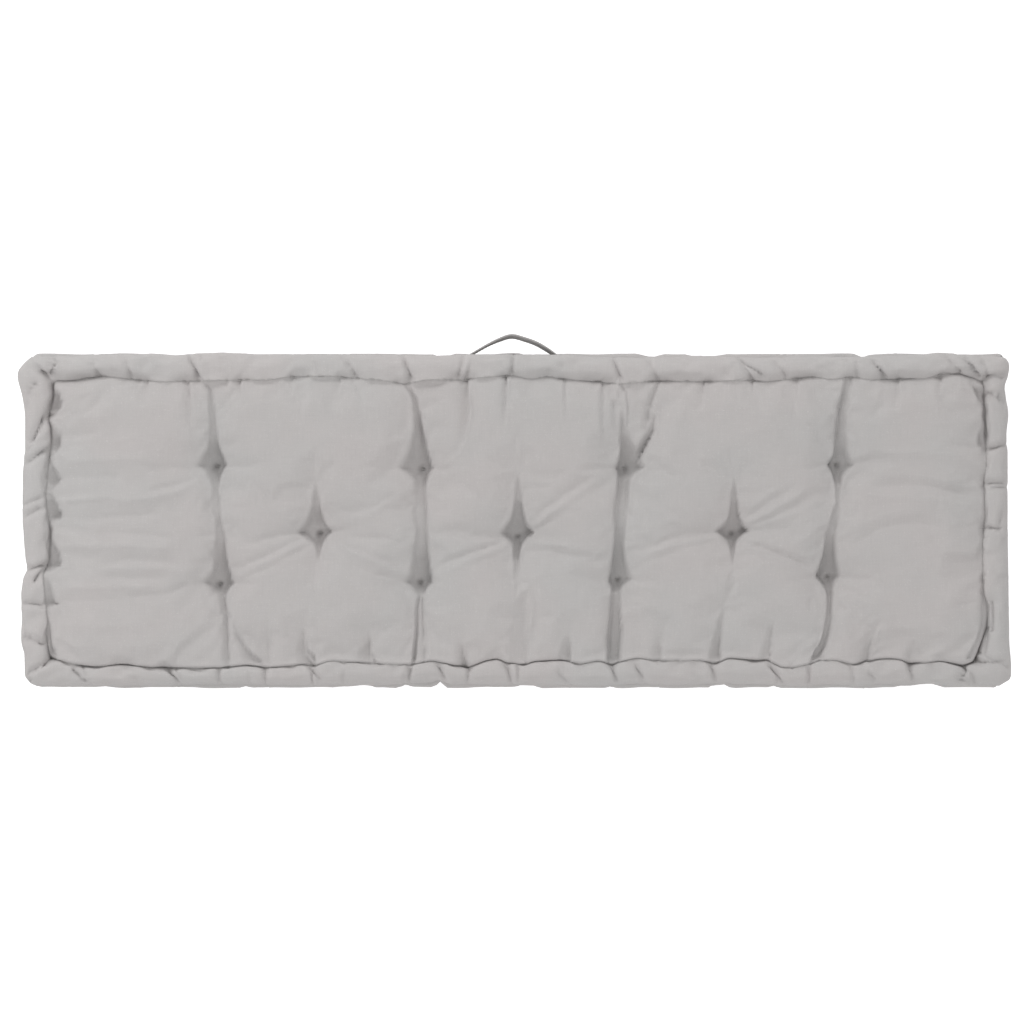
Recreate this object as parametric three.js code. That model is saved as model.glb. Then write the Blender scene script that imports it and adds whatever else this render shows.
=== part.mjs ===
// A tufted pallet cushion with rolled edges and a strap handle, lying on its back.
// Millimetres, +Z up: the length runs along X and the handle is on the +Y side.
// Every table below is measured from the middle of the cushion's face, at ground level.
import * as THREE from "three";

// Overall sizes of the filled cushion
const outer = { left: -597, right: 599, front: -200.5, back: 201.5, cornerRadius: 16 };
const crownHeight = 68.5; // height of the puffed face above the ground, without its folds
const faceSeamHeight = 51; // the seam that parts the face from the rolled edge
const backSeamHeight = 10; // the same seam on the side that it lies on
const rollWidth = 31; // from the seam to the outermost line of the roll
const middleHeight = 35; // halfway up the boxing, between the two rolls

// The seam that runs round the face, and the same round the back
const seam = {
  left: outer.left + rollWidth,
  right: outer.right - rollWidth,
  front: outer.front + rollWidth - 3.5,
  back: outer.back - rollWidth - 0.5,
  cornerRadius: 7,
};

const boxingOut = 21; // how far out the boxing lies, drawn in behind the rolls
const lowerRollStandsOut = 3; // the lower roll shows beyond the upper one

// Section through the rolled edges and the boxing between them, from the face to the back:
// out is the distance from the seam, up the height above the ground, and pinch and lower
// say how far a crease or the fuller lower roll moves the point.
const edgeSection = [
  { out: 2.5, up: 58, pinch: 0.4, lower: 0 },
  { out: 12, up: 64.5, pinch: 1, lower: 0 },
  { out: 23, up: 62.5, pinch: 1, lower: 0 },
  { out: 30, up: 56.5, pinch: 1, lower: 0 },
  { out: 28.5, up: 48.5, pinch: 0.5, lower: 0 },
  { out: boxingOut, up: 46, pinch: 0, lower: 0 },
  { out: boxingOut, up: 24, pinch: 0, lower: 0 },
  { out: 28.5, up: 21.5, pinch: 0.5, lower: 1 },
  { out: 31, up: 13.5, pinch: 1, lower: 1 },
  { out: 26, up: 3.5, pinch: 0.5, lower: 1 },
  { out: 18, up: 0, pinch: 0, lower: 1 },
  { out: 7, up: 0, pinch: 0, lower: 0 },
];

// The tufts, where a cord draws the face and the back together
const upperTufts = [
  { x: -363, y: 66 },
  { x: -113, y: 63 },
  { x: 136, y: 64 },
  { x: 390, y: 67 },
];
const middleTufts = [
  { x: -240, y: -16 },
  { x: 4, y: -19 },
  { x: 262, y: -17 },
];
const lowerTufts = [
  { x: -357, y: -78 },
  { x: -115, y: -76 },
  { x: 124, y: -73 },
  { x: 381, y: -69 },
];
const tufts = [...upperTufts, ...middleTufts, ...lowerTufts];
const tuftSharpness = 1.25; // 2 would make a rounded bowl, 1 a pointed funnel
const faceTuft = { depth: 26, reach: 18, hollow: 4.5, hollowReach: 60 };
const backTuft = { depth: 13, reach: 16, hollow: 3, hollowReach: 55 };

// Channels that the tufting draws between the seams and the tufts
const channels = [
  { x1: -378, y1: 170, x2: -363, y2: 66, reach: 9, depth: 9 },
  { x1: -363, y1: 66, x2: -357, y2: -78, reach: 8, depth: 8 },
  { x1: -357, y1: -78, x2: -347, y2: -172, reach: 8, depth: 9 },
  { x1: -129, y1: 170, x2: -113, y2: 63, reach: 10, depth: 9 },
  { x1: -113, y1: 63, x2: -115, y2: -76, reach: 9, depth: 10 },
  { x1: -115, y1: -76, x2: -120, y2: -172, reach: 9, depth: 13 },
  { x1: 127, y1: 170, x2: 136, y2: 64, reach: 9, depth: 8 },
  { x1: 175, y1: 170, x2: 136, y2: 64, reach: 9, depth: 8 },
  { x1: 136, y1: 64, x2: 124, y2: -73, reach: 9, depth: 9 },
  { x1: 124, y1: -73, x2: 115, y2: -172, reach: 10, depth: 13 },
  { x1: 404, y1: 170, x2: 390, y2: 67, reach: 9, depth: 10 },
  { x1: 390, y1: 67, x2: 381, y2: -69, reach: 8, depth: 8 },
  { x1: 381, y1: -69, x2: 361, y2: -172, reach: 9, depth: 10 },
  { x1: -241, y1: 48, x2: -240, y2: -16, reach: 10, depth: 8 },
  { x1: -240, y1: -16, x2: -240, y2: -48, reach: 9, depth: 5 },
  { x1: 4, y1: 52, x2: 4, y2: -19, reach: 10, depth: 8 },
  { x1: 4, y1: -19, x2: 1, y2: -172, reach: 10, depth: 5 },
  { x1: 266, y1: 52, x2: 262, y2: -17, reach: 9, depth: 7 },
  { x1: 262, y1: -17, x2: 262, y2: -50, reach: 9, depth: 5 },
  { x1: -4, y1: -26, x2: -104, y2: -68, reach: 9, depth: 6 },
  { x1: 270, y1: -24, x2: 366, y2: -60, reach: 9, depth: 6 },
];
const backChannelShare = 0.5; // the back's channels are as deep as this share of the face's
const shoulder = { share: 0.38, widen: 3.2 }; // the slope on both sides of a channel
const blend = 3; // higher keeps crossing channels from adding up

// The filling swells quickly beside the seam and then slowly towards the middle of the face
const facePuff = { nearReach: 48, farReach: 150, farShare: 0.32 };
const puffRoundness = 2.2; // how steeply the filling swells at the seam
const backReach = 34; // the back lies on the ground this far from its seam
const flattened = 2.5; // how much of the back's relief its own weight presses out

// Taut folds that stand up as ridges beside the middle tufts
const ridges = [
  { x1: -256, y1: -28, x2: -340, y2: -68, reach: 9, rise: 4 },
  { x1: -220, y1: -28, x2: -130, y2: -66, reach: 9, rise: 4 },
  { x1: 28, y1: -2, x2: 112, y2: 50, reach: 10, rise: 5 },
  { x1: 238, y1: -20, x2: 146, y2: -50, reach: 10, rise: 4 },
  { x1: 282, y1: -4, x2: 366, y2: 48, reach: 11, rise: 4 },
];

// Where the rolled edges are creased: x along the back and front edges, y along the ends
const creases = {
  back: [-557, -466, -384, -281, -130, -64, -4, 126, 172, 288, 415, 448, 548],
  front: [-528, -413, -358, -302, -243, -126, -89, -56, -8, 61, 120, 153, 242, 319, 358, 410, 481, 544],
  left: [177, 109, 78, 23, -60, -102, -146],
  right: [170, 90, 42, -8, -63, -121],
};
const crease = { reach: 8, drop: 5, notch: 2.5 };

// The strap handle, sewn by its two ends to the boxing at the back edge
const strap = { thick: 2.2, wide: 19, middle: middleHeight, gap: 0.3, lean: 5, steps: 4 };
// The flat of the boxing, which the strap's ends lie against
const boxingBack = THREE.MathUtils.lerp(seam.back, outer.back, boxingOut / rollWidth);
const strapLine = boxingBack + strap.gap + strap.thick / 2;
const strapPath = [
  { x: -106, y: strapLine, lean: 0 },
  { x: -92, y: strapLine, lean: 0 },
  { x: -78, y: strapLine, lean: 0 },
  { x: -66, y: strapLine + 2.2, lean: 0 },
  { x: -52, y: 203, lean: 0 },
  { x: -33, y: 213.5, lean: 0.2 },
  { x: -18, y: 220.5, lean: 0.7 },
  { x: -4, y: 224.5, lean: 1 },
  { x: 11, y: 220.5, lean: 1 },
  { x: 26, y: 214.5, lean: 1 },
  { x: 40, y: 206, lean: 0.9 },
  { x: 53, y: 198, lean: 0.5 },
  { x: 66, y: strapLine + 1.8, lean: 0.1 },
  { x: 78, y: strapLine, lean: 0 },
  { x: 92, y: strapLine, lean: 0 },
  { x: 106, y: strapLine, lean: 0 },
];

// The grid of the face: its columns follow the channels from tuft to tuft.
// Each row gives a line's x at the front seam, the three rows of tufts and the back seam,
// and how many columns lie between it and the line before.
const columnLines = [
  { x: [seam.left, seam.left, seam.left, seam.left, seam.left], columns: 0 },
  { x: [-347, -357, -360, -363, -378], columns: 12 },
  { x: [-240, -240, -240, -241, -250], columns: 7 },
  { x: [-120, -115, -114, -113, -129], columns: 7 },
  { x: [1, 2, 4, 4, 2], columns: 7 },
  { x: [115, 124, 130, 136, 127], columns: 7 },
  { x: [250, 262, 262, 264, 266], columns: 8 },
  { x: [361, 381, 386, 390, 404], columns: 7 },
  { x: [seam.right, seam.right, seam.right, seam.right, seam.right], columns: 11 },
];
const rowLines = [
  { y: seam.front, rows: 0 },
  { y: -74, rows: 6 },
  { y: -17, rows: 4 },
  { y: 65, rows: 5 },
  { y: seam.back, rows: 6 },
];
const cornerSpread = 100; // the roll's columns fan out over this length before a corner

const coverFinish = { color: 0xb4b2b0, roughness: 0.92, metalness: 0 };
const strapFinish = { color: 0xa9a7a6, roughness: 0.88, metalness: 0 };

function clamp(value, low, high) {
  return Math.min(Math.max(value, low), high);
}

function smooth(value) {
  const t = clamp(value, 0, 1);
  return t * t * (3 - 2 * t);
}

// Places along a chain of lines, evenly spaced between each line and the next
function steps(lines, countName) {
  const places = [];
  for (let k = 1; k < lines.length; k++) {
    const count = lines[k][countName];
    for (let s = 0; s < count; s++) places.push({ line: k - 1, share: s / count });
  }
  places.push({ line: lines.length - 2, share: 1 });
  return places;
}

const columnSteps = steps(columnLines, "columns");
const rowSteps = steps(rowLines, "rows");
const columns = columnSteps.length - 1;
const rows = rowSteps.length - 1;

// The plan position of a grid point before its corners are rounded
function gridPoint(column, row) {
  const across = columnSteps[column];
  const along = rowSteps[row];
  const lineX = (line) =>
    THREE.MathUtils.lerp(columnLines[line].x[along.line], columnLines[line].x[along.line + 1], along.share);
  return {
    x: THREE.MathUtils.lerp(lineX(across.line), lineX(across.line + 1), across.share),
    y: THREE.MathUtils.lerp(rowLines[along.line].y, rowLines[along.line + 1].y, along.share),
  };
}

// Moves a point of a box's outline onto the same outline with rounded corners
function roundCorner(point, box, onEnd) {
  const cornerX = point.x < (box.left + box.right) / 2 ? box.left : box.right;
  const cornerY = point.y < (box.front + box.back) / 2 ? box.front : box.back;
  const away = Math.abs(onEnd ? point.y - cornerY : point.x - cornerX);
  const r = box.cornerRadius;
  if (away >= r) return point;
  const turn = (Math.PI / 4) * (1 - away / r);
  const near = r * (1 - Math.sin(turn));
  const far = r * (1 - Math.cos(turn));
  const inX = onEnd ? far : near;
  const inY = onEnd ? near : far;
  return {
    x: cornerX - Math.sign(cornerX) * inX,
    y: cornerY - Math.sign(cornerY) * inY,
  };
}

// A coordinate of the seam carried out to the roll, which only widens near the corners
function spread(value, low, high, outerLow, outerHigh) {
  const toHigh = smooth(1 - (high - value) / cornerSpread) * (outerHigh - high);
  const toLow = smooth(1 - (value - low) / cornerSpread) * (outerLow - low);
  return value + toHigh + toLow;
}

// Each grid point on the seam, with the point of the roll's outermost line beyond it
function edgePoint(column, row) {
  const onEnd = (column === 0 || column === columns) && row !== 0 && row !== rows;
  const side = row === 0 ? "front" : row === rows ? "back" : column === 0 ? "left" : "right";
  const flat = gridPoint(column, row);
  const beyond = {
    x: spread(flat.x, seam.left, seam.right, outer.left, outer.right),
    y: spread(flat.y, seam.front, seam.back, outer.front, outer.back),
  };
  return {
    side,
    place: onEnd ? flat.y : flat.x,
    inner: roundCorner(flat, seam, onEnd),
    beyond: roundCorner(beyond, outer, onEnd),
  };
}

// The grid points round the seam, anticlockwise from the front left corner
function roundTheSeam() {
  const round = [];
  for (let column = 0; column < columns; column++) round.push([column, 0]);
  for (let row = 0; row < rows; row++) round.push([columns, row]);
  for (let column = columns; column > 0; column--) round.push([column, rows]);
  for (let row = rows; row > 0; row--) round.push([0, row]);
  return round;
}

function distanceToLine(x, y, line) {
  const dx = line.x2 - line.x1;
  const dy = line.y2 - line.y1;
  const t = clamp(((x - line.x1) * dx + (y - line.y1) * dy) / (dx * dx + dy * dy), 0, 1);
  return Math.hypot(x - line.x1 - t * dx, y - line.y1 - t * dy);
}

// How far the tufts and channels draw the cover in at a place, as one blended depth
function drawnIn(x, y, tuft, channelShare) {
  let sum = 0;
  let hollow = 0;
  for (const { x: tx, y: ty } of tufts) {
    const r = Math.hypot(x - tx, y - ty);
    sum += (tuft.depth * Math.exp(-((r / tuft.reach) ** tuftSharpness))) ** blend;
    hollow = Math.max(hollow, tuft.hollow * Math.exp(-((r / tuft.hollowReach) ** 2)));
  }
  for (const line of channels) {
    const d = distanceToLine(x, y, line) / line.reach;
    const narrow = (1 - shoulder.share) * Math.exp(-(d ** 2));
    const wide = shoulder.share * Math.exp(-((d / shoulder.widen) ** 2));
    sum += (channelShare * line.depth * (narrow + wide)) ** blend;
  }
  return sum ** (1 / blend) + hollow;
}

// Share of the full height that the filling reaches, from 0 at the seam to 1 at this reach
function puff(x, y, reach) {
  const toEnd = Math.min(x - seam.left, seam.right - x);
  const toSide = Math.min(y - seam.front, seam.back - y);
  const rise = (d) => 1 - (1 - clamp(d / reach, 0, 1)) ** puffRoundness;
  return rise(toEnd) * rise(toSide);
}

function faceHeight(x, y) {
  const quick = puff(x, y, facePuff.nearReach);
  const slow = puff(x, y, facePuff.farReach);
  const full = THREE.MathUtils.lerp(quick, slow, facePuff.farShare);
  let height = faceSeamHeight + (crownHeight - faceSeamHeight) * full - drawnIn(x, y, faceTuft, 1);
  for (const line of ridges) {
    const d = distanceToLine(x, y, line) / line.reach;
    height += line.rise * Math.exp(-(d ** 2));
  }
  return height;
}

function backHeight(x, y) {
  const edge = backSeamHeight * (1 - puff(x, y, backReach));
  return Math.max(0, Math.max(edge, drawnIn(x, y, backTuft, backChannelShare)) - flattened);
}

// How deep in a crease a place along one side of a roll is, from 0 to 1. The lower roll
// has the creases of the upper one in mirrored places.
function creased(side, place, sense) {
  return Math.max(...creases[side].map((at) => Math.exp(-(((place - sense * at) / crease.reach) ** 2))));
}

// Joins the face, the rings of the rolled edge and the back into one closed body
function cushionGeometry() {
  const positions = [];
  const faces = [];
  const addPoint = (x, y, z) => positions.push(x, y, z) / 3 - 1;
  const addQuad = (a, b, c, d) => faces.push(a, b, c, a, c, d);

  const addPanel = (heightAt, seamHeight, facesUp) => {
    const index = [];
    for (let column = 0; column <= columns; column++) {
      index.push([]);
      for (let row = 0; row <= rows; row++) {
        const onSeam = column === 0 || column === columns || row === 0 || row === rows;
        const { x, y } = onSeam ? edgePoint(column, row).inner : gridPoint(column, row);
        index[column].push(addPoint(x, y, onSeam ? seamHeight : heightAt(x, y)));
      }
    }
    for (let column = 0; column < columns; column++) {
      for (let row = 0; row < rows; row++) {
        const corners = [
          index[column][row],
          index[column + 1][row],
          index[column + 1][row + 1],
          index[column][row + 1],
        ];
        addQuad(...(facesUp ? corners : corners.reverse()));
      }
    }
    return roundTheSeam().map(([column, row]) => index[column][row]);
  };

  const face = addPanel(faceHeight, faceSeamHeight, true);
  const back = addPanel(backHeight, backSeamHeight - flattened, false);
  const edge = roundTheSeam().map(([column, row]) => edgePoint(column, row));
  const rings = edgeSection.map(({ out, up, pinch, lower }) =>
    edge.map(({ side, place, inner, beyond }) => {
      const sense = up > middleHeight ? 1 : -1; // 1 on the upper roll, -1 on the lower
      const amount = pinch * creased(side, place, sense);
      const reach = out + (lower * lowerRollStandsOut * out) / rollWidth - amount * crease.notch;
      const share = reach / rollWidth;
      return addPoint(
        THREE.MathUtils.lerp(inner.x, beyond.x, share),
        THREE.MathUtils.lerp(inner.y, beyond.y, share),
        up - sense * amount * crease.drop,
      );
    }),
  );
  const loops = [face, ...rings, back];
  for (let k = 0; k + 1 < loops.length; k++) {
    for (let n = 0; n < edge.length; n++) {
      const next = (n + 1) % edge.length;
      addQuad(loops[k][n], loops[k + 1][n], loops[k + 1][next], loops[k][next]);
    }
  }

  const geometry = new THREE.BufferGeometry();
  geometry.setAttribute("position", new THREE.Float32BufferAttribute(positions, 3));
  geometry.setIndex(faces);
  geometry.computeVertexNormals();
  return geometry;
}

// The strap's outline seen from above, drawn upwards to its width and leant outwards
function strapGeometry() {
  const line = new THREE.SplineCurve(strapPath.map(({ x, y }) => new THREE.Vector2(x, y)));
  const stations = strap.steps * (strapPath.length - 1);
  const side = (sense) =>
    Array.from({ length: stations + 1 }, (_, k) => {
      const at = line.getPoint(k / stations);
      const along = line.getTangent(k / stations);
      const off = (sense * strap.thick) / 2;
      return new THREE.Vector2(at.x - along.y * off, at.y + along.x * off);
    });
  const outline = new THREE.Shape([...side(-1), ...side(1).reverse()]);
  const geometry = new THREE.ExtrudeGeometry(outline, { depth: strap.wide, steps: 2, bevelEnabled: false });
  geometry.translate(0, 0, strap.middle - strap.wide / 2);

  const leanAt = (x) => {
    const next = strapPath.findIndex((point) => point.x >= x);
    if (next <= 0) return 0;
    const [a, b] = [strapPath[next - 1], strapPath[next]];
    return THREE.MathUtils.lerp(a.lean, b.lean, (x - a.x) / (b.x - a.x));
  };
  const place = geometry.getAttribute("position");
  for (let k = 0; k < place.count; k++) {
    const upward = (place.getZ(k) - strap.middle) / strap.wide;
    place.setY(k, place.getY(k) + strap.lean * leanAt(place.getX(k)) * upward);
  }
  return geometry;
}

const cushion = new THREE.Mesh(cushionGeometry(), new THREE.MeshStandardMaterial(coverFinish));
cushion.name = "cushion";

const handle = new THREE.Mesh(strapGeometry(), new THREE.MeshStandardMaterial(strapFinish));
handle.name = "handle";

// The origin lies on the ground, in the middle of the cushion with its handle
const palletCushion = new THREE.Group();
palletCushion.add(cushion, handle);
const bounds = new THREE.Box3().setFromObject(palletCushion);
const middle = bounds.getCenter(new THREE.Vector3());
palletCushion.position.set(-middle.x, -middle.y, -bounds.min.z);

export default palletCushion;
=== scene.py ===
import bpy
import numpy as np
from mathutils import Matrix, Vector


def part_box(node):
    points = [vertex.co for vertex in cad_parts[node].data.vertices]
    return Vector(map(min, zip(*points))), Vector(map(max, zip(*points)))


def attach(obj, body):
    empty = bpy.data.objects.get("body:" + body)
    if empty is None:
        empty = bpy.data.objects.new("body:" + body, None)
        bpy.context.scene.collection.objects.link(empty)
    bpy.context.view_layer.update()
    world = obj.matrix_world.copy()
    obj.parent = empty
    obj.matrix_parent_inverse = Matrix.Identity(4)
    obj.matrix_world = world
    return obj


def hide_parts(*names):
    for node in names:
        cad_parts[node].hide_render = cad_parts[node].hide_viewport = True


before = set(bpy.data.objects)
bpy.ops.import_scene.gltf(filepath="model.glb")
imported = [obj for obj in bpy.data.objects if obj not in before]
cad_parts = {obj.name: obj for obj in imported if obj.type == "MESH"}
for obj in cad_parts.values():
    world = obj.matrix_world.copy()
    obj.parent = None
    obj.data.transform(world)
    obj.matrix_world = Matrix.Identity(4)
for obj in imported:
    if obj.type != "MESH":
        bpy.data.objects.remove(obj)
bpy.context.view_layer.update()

# The pallet cushion in metres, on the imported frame. Every table of this file is in
# millimetres from the middle of the cushion's face, with heights above the ground.
mm = 0.001

cover = {
    "left": -597, "right": 599, "front": -200.5, "back": 201.5,  # the upper roll's outline
    "frontOfAll": -203.71,  # the lower roll's front line, which the frame's box starts from
    "leftOfAll": -600.0,
    "lowerOut": 3.2,  # how much further out the lower roll lies in front
    "seamHeight": 56,  # the stitched groove round the face
    "backLift": 5, "frontDrop": 3,  # how the groove lies higher behind and lower in front,
    "liftFrom": 110, "liftTo": 165,  # changing between these distances from the middle
    "crown": 69,
    "rollWidth": 31,
    "boxingTop": 46, "boxingBottom": 24, "boxingOut": 21,
    "seamLeft": -566, "seamRight": 568, "seamFront": -173, "seamBack": 170,  # without its waves
}

low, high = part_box("cushion")
shiftX = low[0] / mm - cover["leftOfAll"]
shiftY = low[1] / mm - cover["frontOfAll"]


def toMetres(points):
    moved = np.array(points, float)
    moved[:, 0] += shiftX
    moved[:, 1] += shiftY
    return moved * mm


def softNoise(x, y, size, seed):
    # smooth hills and hollows between -1 and 1, about size across
    cells = 256
    lattice = np.random.default_rng(seed).uniform(-1, 1, (cells, cells))
    u, v = x / size + 90.3, y / size + 90.7
    i, j = np.floor(u).astype(int), np.floor(v).astype(int)
    fu, fv = u - i, v - j
    fu = fu ** 3 * (fu * (fu * 6 - 15) + 10)
    fv = fv ** 3 * (fv * (fv * 6 - 15) + 10)
    i, j, i1, j1 = i % cells, j % cells, (i + 1) % cells, (j + 1) % cells
    near = lattice[i, j] * (1 - fu) + lattice[i1, j] * fu
    far = lattice[i, j1] * (1 - fu) + lattice[i1, j1] * fu
    return near * (1 - fv) + far * fv


def uneven(x, y, waves, start=0):
    # waves of soft noise added to start: how high, how y is stretched, size and seed of each
    for amount, stretch, size, seed in waves:
        start = start + amount * softNoise(x, y * stretch, size, seed)
    return start


def smoothStep(value, start, end):
    t = np.clip((value - start) / (end - start), 0, 1)
    return t * t * (3 - 2 * t)


def between(value, start, end):
    # 1 between its two soft ends
    return smoothStep(value, *start) * (1 - smoothStep(value, *end))


def bell(distance, reach, power=2):
    return np.exp(-(distance / reach) ** power)


def fading(distance, reach):
    return np.exp(-np.maximum(distance, 0) / reach)


def summed(steps):
    # how far each point of a line is from its start
    return np.concatenate([[0], np.cumsum(steps)])


def rounded(points, rounds=2):
    # cuts the corners of a chain, so that a fold bends softly
    chain = np.array(points, float)
    for _ in range(rounds):
        a, b = chain[:-1], chain[1:]
        cut = np.stack([a * 0.75 + b * 0.25, a * 0.25 + b * 0.75], 1).reshape(-1, chain.shape[1])
        chain = np.vstack([chain[:1], cut, chain[-1:]])
    return chain


def alongChain(x, y, chain):
    # distance to a chain, how far along it, from 0 to 1, and the side of it
    best = np.full(x.shape, np.inf)
    share, side = np.zeros(x.shape), np.zeros(x.shape)
    steps = np.diff(chain, axis=0)
    lengths = np.hypot(steps[:, 0], steps[:, 1])
    done = 0.0
    for (ax, ay), (dx, dy), length in zip(chain[:-1], steps, lengths):
        if length < 1e-6:
            continue
        dx, dy = dx / length, dy / length
        t = np.clip((x - ax) * dx + (y - ay) * dy, 0, length)
        d = np.hypot(x - ax - t * dx, y - ay - t * dy)
        near = d < best
        best = np.where(near, d, best)
        share = np.where(near, (done + t) / lengths.sum(), share)
        side = np.where(near, np.sign((y - ay) * dx - (x - ax) * dy), side)
        done += length
    return best, np.clip(share, 0, 1), side


# The seam between face and roll, as it waves, and the outline of the upper roll
backSeam = [
    (-562, 169), (-534, 170), (-500, 175), (-466, 171), (-431, 168), (-384, 169), (-328, 170),
    (-298, 170), (-273, 174), (-225, 175), (-192, 172), (-164, 170), (-134, 165), (-109, 170),
    (-67, 170), (-30, 174), (-4, 176), (18, 171), (43, 174), (73, 170), (103, 168), (126, 165),
    (172, 169), (231, 168), (288, 170), (304, 168), (334, 171), (358, 174), (383, 171), (410, 174),
    (431, 170), (449, 171), (498, 172), (522, 178), (541, 178), (560, 172), (570, 170),
]
frontSeam = [
    (-566, -170), (-553, -171), (-528, -177), (-510, -179), (-480, -176), (-443, -179),
    (-413, -180), (-358, -180), (-328, -177), (-302, -180), (-261, -176), (-243, -178),
    (-225, -171), (-182, -174), (-125, -176), (-101, -171), (-79, -176), (-57, -180), (-36, -172),
    (-22, -169), (-9, -174), (9, -177), (24, -172), (55, -171), (79, -175), (103, -171),
    (118, -177), (134, -171), (149, -168), (170, -171), (225, -171), (244, -175), (259, -168),
    (294, -171), (307, -170), (322, -179), (334, -180), (358, -175), (370, -171), (389, -170),
    (411, -176), (443, -169), (465, -169), (480, -175), (516, -172), (545, -178), (562, -172),
]
leftSeam = [
    (-562, 169), (-562, 152), (-566, 136), (-568, 125), (-565, 115), (-564, 97), (-567, 67),
    (-570, 30), (-567, 0), (-565, -16), (-567, -50), (-573, -66), (-570, -101), (-567, -128),
    (-570, -140), (-567, -164), (-566, -170),
]
rightSeam = [
    (570, 170), (571, 146), (573, 97), (572, 67), (570, 45), (571, 6), (570, -9), (568, -30),
    (568, -67), (570, -91), (574, -103), (575, -130), (569, -146), (563, -162), (560, -172),
]
backOutline = [
    (-597, 199), (-553, 200.5), (-500, 201.5), (-441, 204), (-413, 201.8), (-385, 204),
    (-357, 205.2), (-320, 203), (-217, 203), (-134, 201.5), (-106, 200.5), (-50, 202.8), (6, 202.8),
    (60, 202), (90, 199), (160, 198), (230, 199), (300, 198), (369, 198.5), (440, 199.5),
    (490, 202), (520, 205), (545, 201.5), (599, 198.5),
]
frontOutline = [
    (-597, -201), (-560, -202.5), (-500, -201.5), (-441, -200), (-360, -199), (-300, -200),
    (-239, -201), (-160, -200.5), (-134, -198), (-92, -194.5), (-80, -199), (-20, -200),
    (40, -199.5), (95, -202), (143, -198.5), (200, -201), (255, -196.5), (318, -200.5), (352, -202),
    (380, -199.5), (420, -202), (446, -198.5), (509, -199), (540, -203), (599, -201),
]
leftOutline = [
    (-598, 200), (-604, 182), (-605, 173), (-602, 163), (-597, 145), (-595, 128), (-595, 85),
    (-598, 56), (-598, 0), (-596, -30), (-594, -48), (-591, -59), (-597, -70), (-600, -90),
    (-599, -120), (-600, -148), (-596, -163), (-595, -200),
]
rightOutline = [
    (600, 199), (601, 186), (599, 175), (595, 161), (598, 143), (600, 129), (597, 101), (599, 85),
    (599, 0), (600, -70), (601, -148), (604, -178), (603, -200),
]

# What pinching takes from the roll, how round its corners are, and the notches in the front
# line of the lower roll: x and depth
rimSlack = {"left": 2.2, "right": 1.4, "front": 0.8, "back": -0.2}
cornerRadius = {"left": {"back": 17, "front": 14}, "right": {"back": 9, "front": 12}}
cornerReading = {"x": 0.97, "y": 0.96}  # how far towards a corner the two outlines are read
frontNotches = [(-331, 1.5), (-134, 2), (-92, 7), (118, 1.5), (259, 3), (318, 2)]
notchReach = 5

# How full the stitched groove is, in millimetres above its usual height: place along the seam
grooveFill = {
    "back": [
        (-562, -4), (-530, -8), (-505, -8), (-490, -2), (-465, -3), (-455, -4), (-440, 1),
        (-420, 4), (-400, -1), (-386, 0), (-374, 8.5), (-350, 7), (-334, 2), (-322, 4), (-312, 6),
        (-276, 5), (-266, -2), (-254, -2), (-244, 6), (-218, 6), (-207, -2), (-192, -1), (-180, 5),
        (-154, 4), (-142, -1), (-131, -1), (-120, 9), (-92, 8), (-80, 1), (-62, -1), (-44, 5),
        (-22, 4.5), (-8, 0), (12, -2), (54, -4), (74, -2), (100, -6), (114, -5), (126, 4), (154, 5),
        (168, -4), (182, -6), (196, -3), (224, -2), (236, -4), (252, 3), (276, 4), (290, -4),
        (306, -4), (326, 0), (346, -4), (360, -4), (376, 1), (396, 2), (410, -2), (426, 2),
        (440, 0), (456, -4), (490, -3), (504, 0), (520, -2), (545, -6), (560, -4), (570, -8),
    ],
    "front": [
        (-562, 3), (-545, 7.5), (-535, 10), (-525, 2.5), (-510, 2), (-497, 6.5), (-485, 2.5),
        (-470, -1), (-458, 5), (-440, 5), (-426, 0), (-410, 3.5), (-394, 7), (-366, 7), (-345, 5.5),
        (-320, 3), (-300, 8), (-280, 8), (-258, 7), (-246, 8.5), (-234, 11), (-210, 10.5),
        (-190, 8), (-178, 11), (-160, 13), (-138, 12), (-110, 10), (-86, 8), (-56, 4.5), (-30, 3),
        (-14, 5), (10, 6), (30, 5.5), (44, 1.5), (56, 1), (68, 10), (96, 10), (118, 9), (130, 9),
        (160, 10), (186, 12), (210, 11.5), (230, 9), (256, 8.5), (272, 6.5), (290, 2.5), (304, 4.5),
        (314, 10), (344, 13), (368, 11), (390, 12), (416, 7), (440, 6), (456, 6), (470, 9),
        (484, 2), (496, 11.5), (512, 8.5), (524, 4), (545, 0), (562, -2),
    ],
    "left": [
        (168, -9), (158, -8), (142, -5), (130, -1.5), (118, -2), (110, 0), (96, 2), (86, 4),
        (74, 2), (60, 5), (46, 6), (36, 5), (24, 6), (14, 7), (4, 5), (-2, 2), (-12, -3), (-24, -2),
        (-36, 1), (-48, 1), (-58, 2), (-68, 6), (-84, 10), (-98, 8), (-108, 7), (-130, 7),
        (-150, 9), (-162, 7), (-170, 4),
    ],
    "right": [
        (168, -5), (106, -5), (92, 3), (82, 6), (56, 6), (46, 4), (26, 4), (4, 3), (-18, 3),
        (-40, 4), (-62, 4), (-72, 1), (-84, 4), (-104, 3), (-116, 0), (-132, -3), (-170, -3),
    ],
}


def tableLine(points, byX=True):
    # a waving line as a function of x or of y, without kinks
    table = np.array(sorted(points, key=lambda p: p[0] if byX else p[1]), float)
    at, value = (table[:, 0], table[:, 1]) if byX else (table[:, 1], table[:, 0])
    beyond, span, softness = 60, 12, 4.0
    fine = np.arange(at[0] - beyond, at[-1] + beyond + 1, 1.0)
    kernel = bell(np.arange(-span, span + 1), softness)
    padded = np.pad(np.interp(fine, at, value), span, mode="edge")
    soft = np.convolve(padded, kernel / kernel.sum(), mode="valid")
    return lambda place: np.interp(place, fine, soft)


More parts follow.
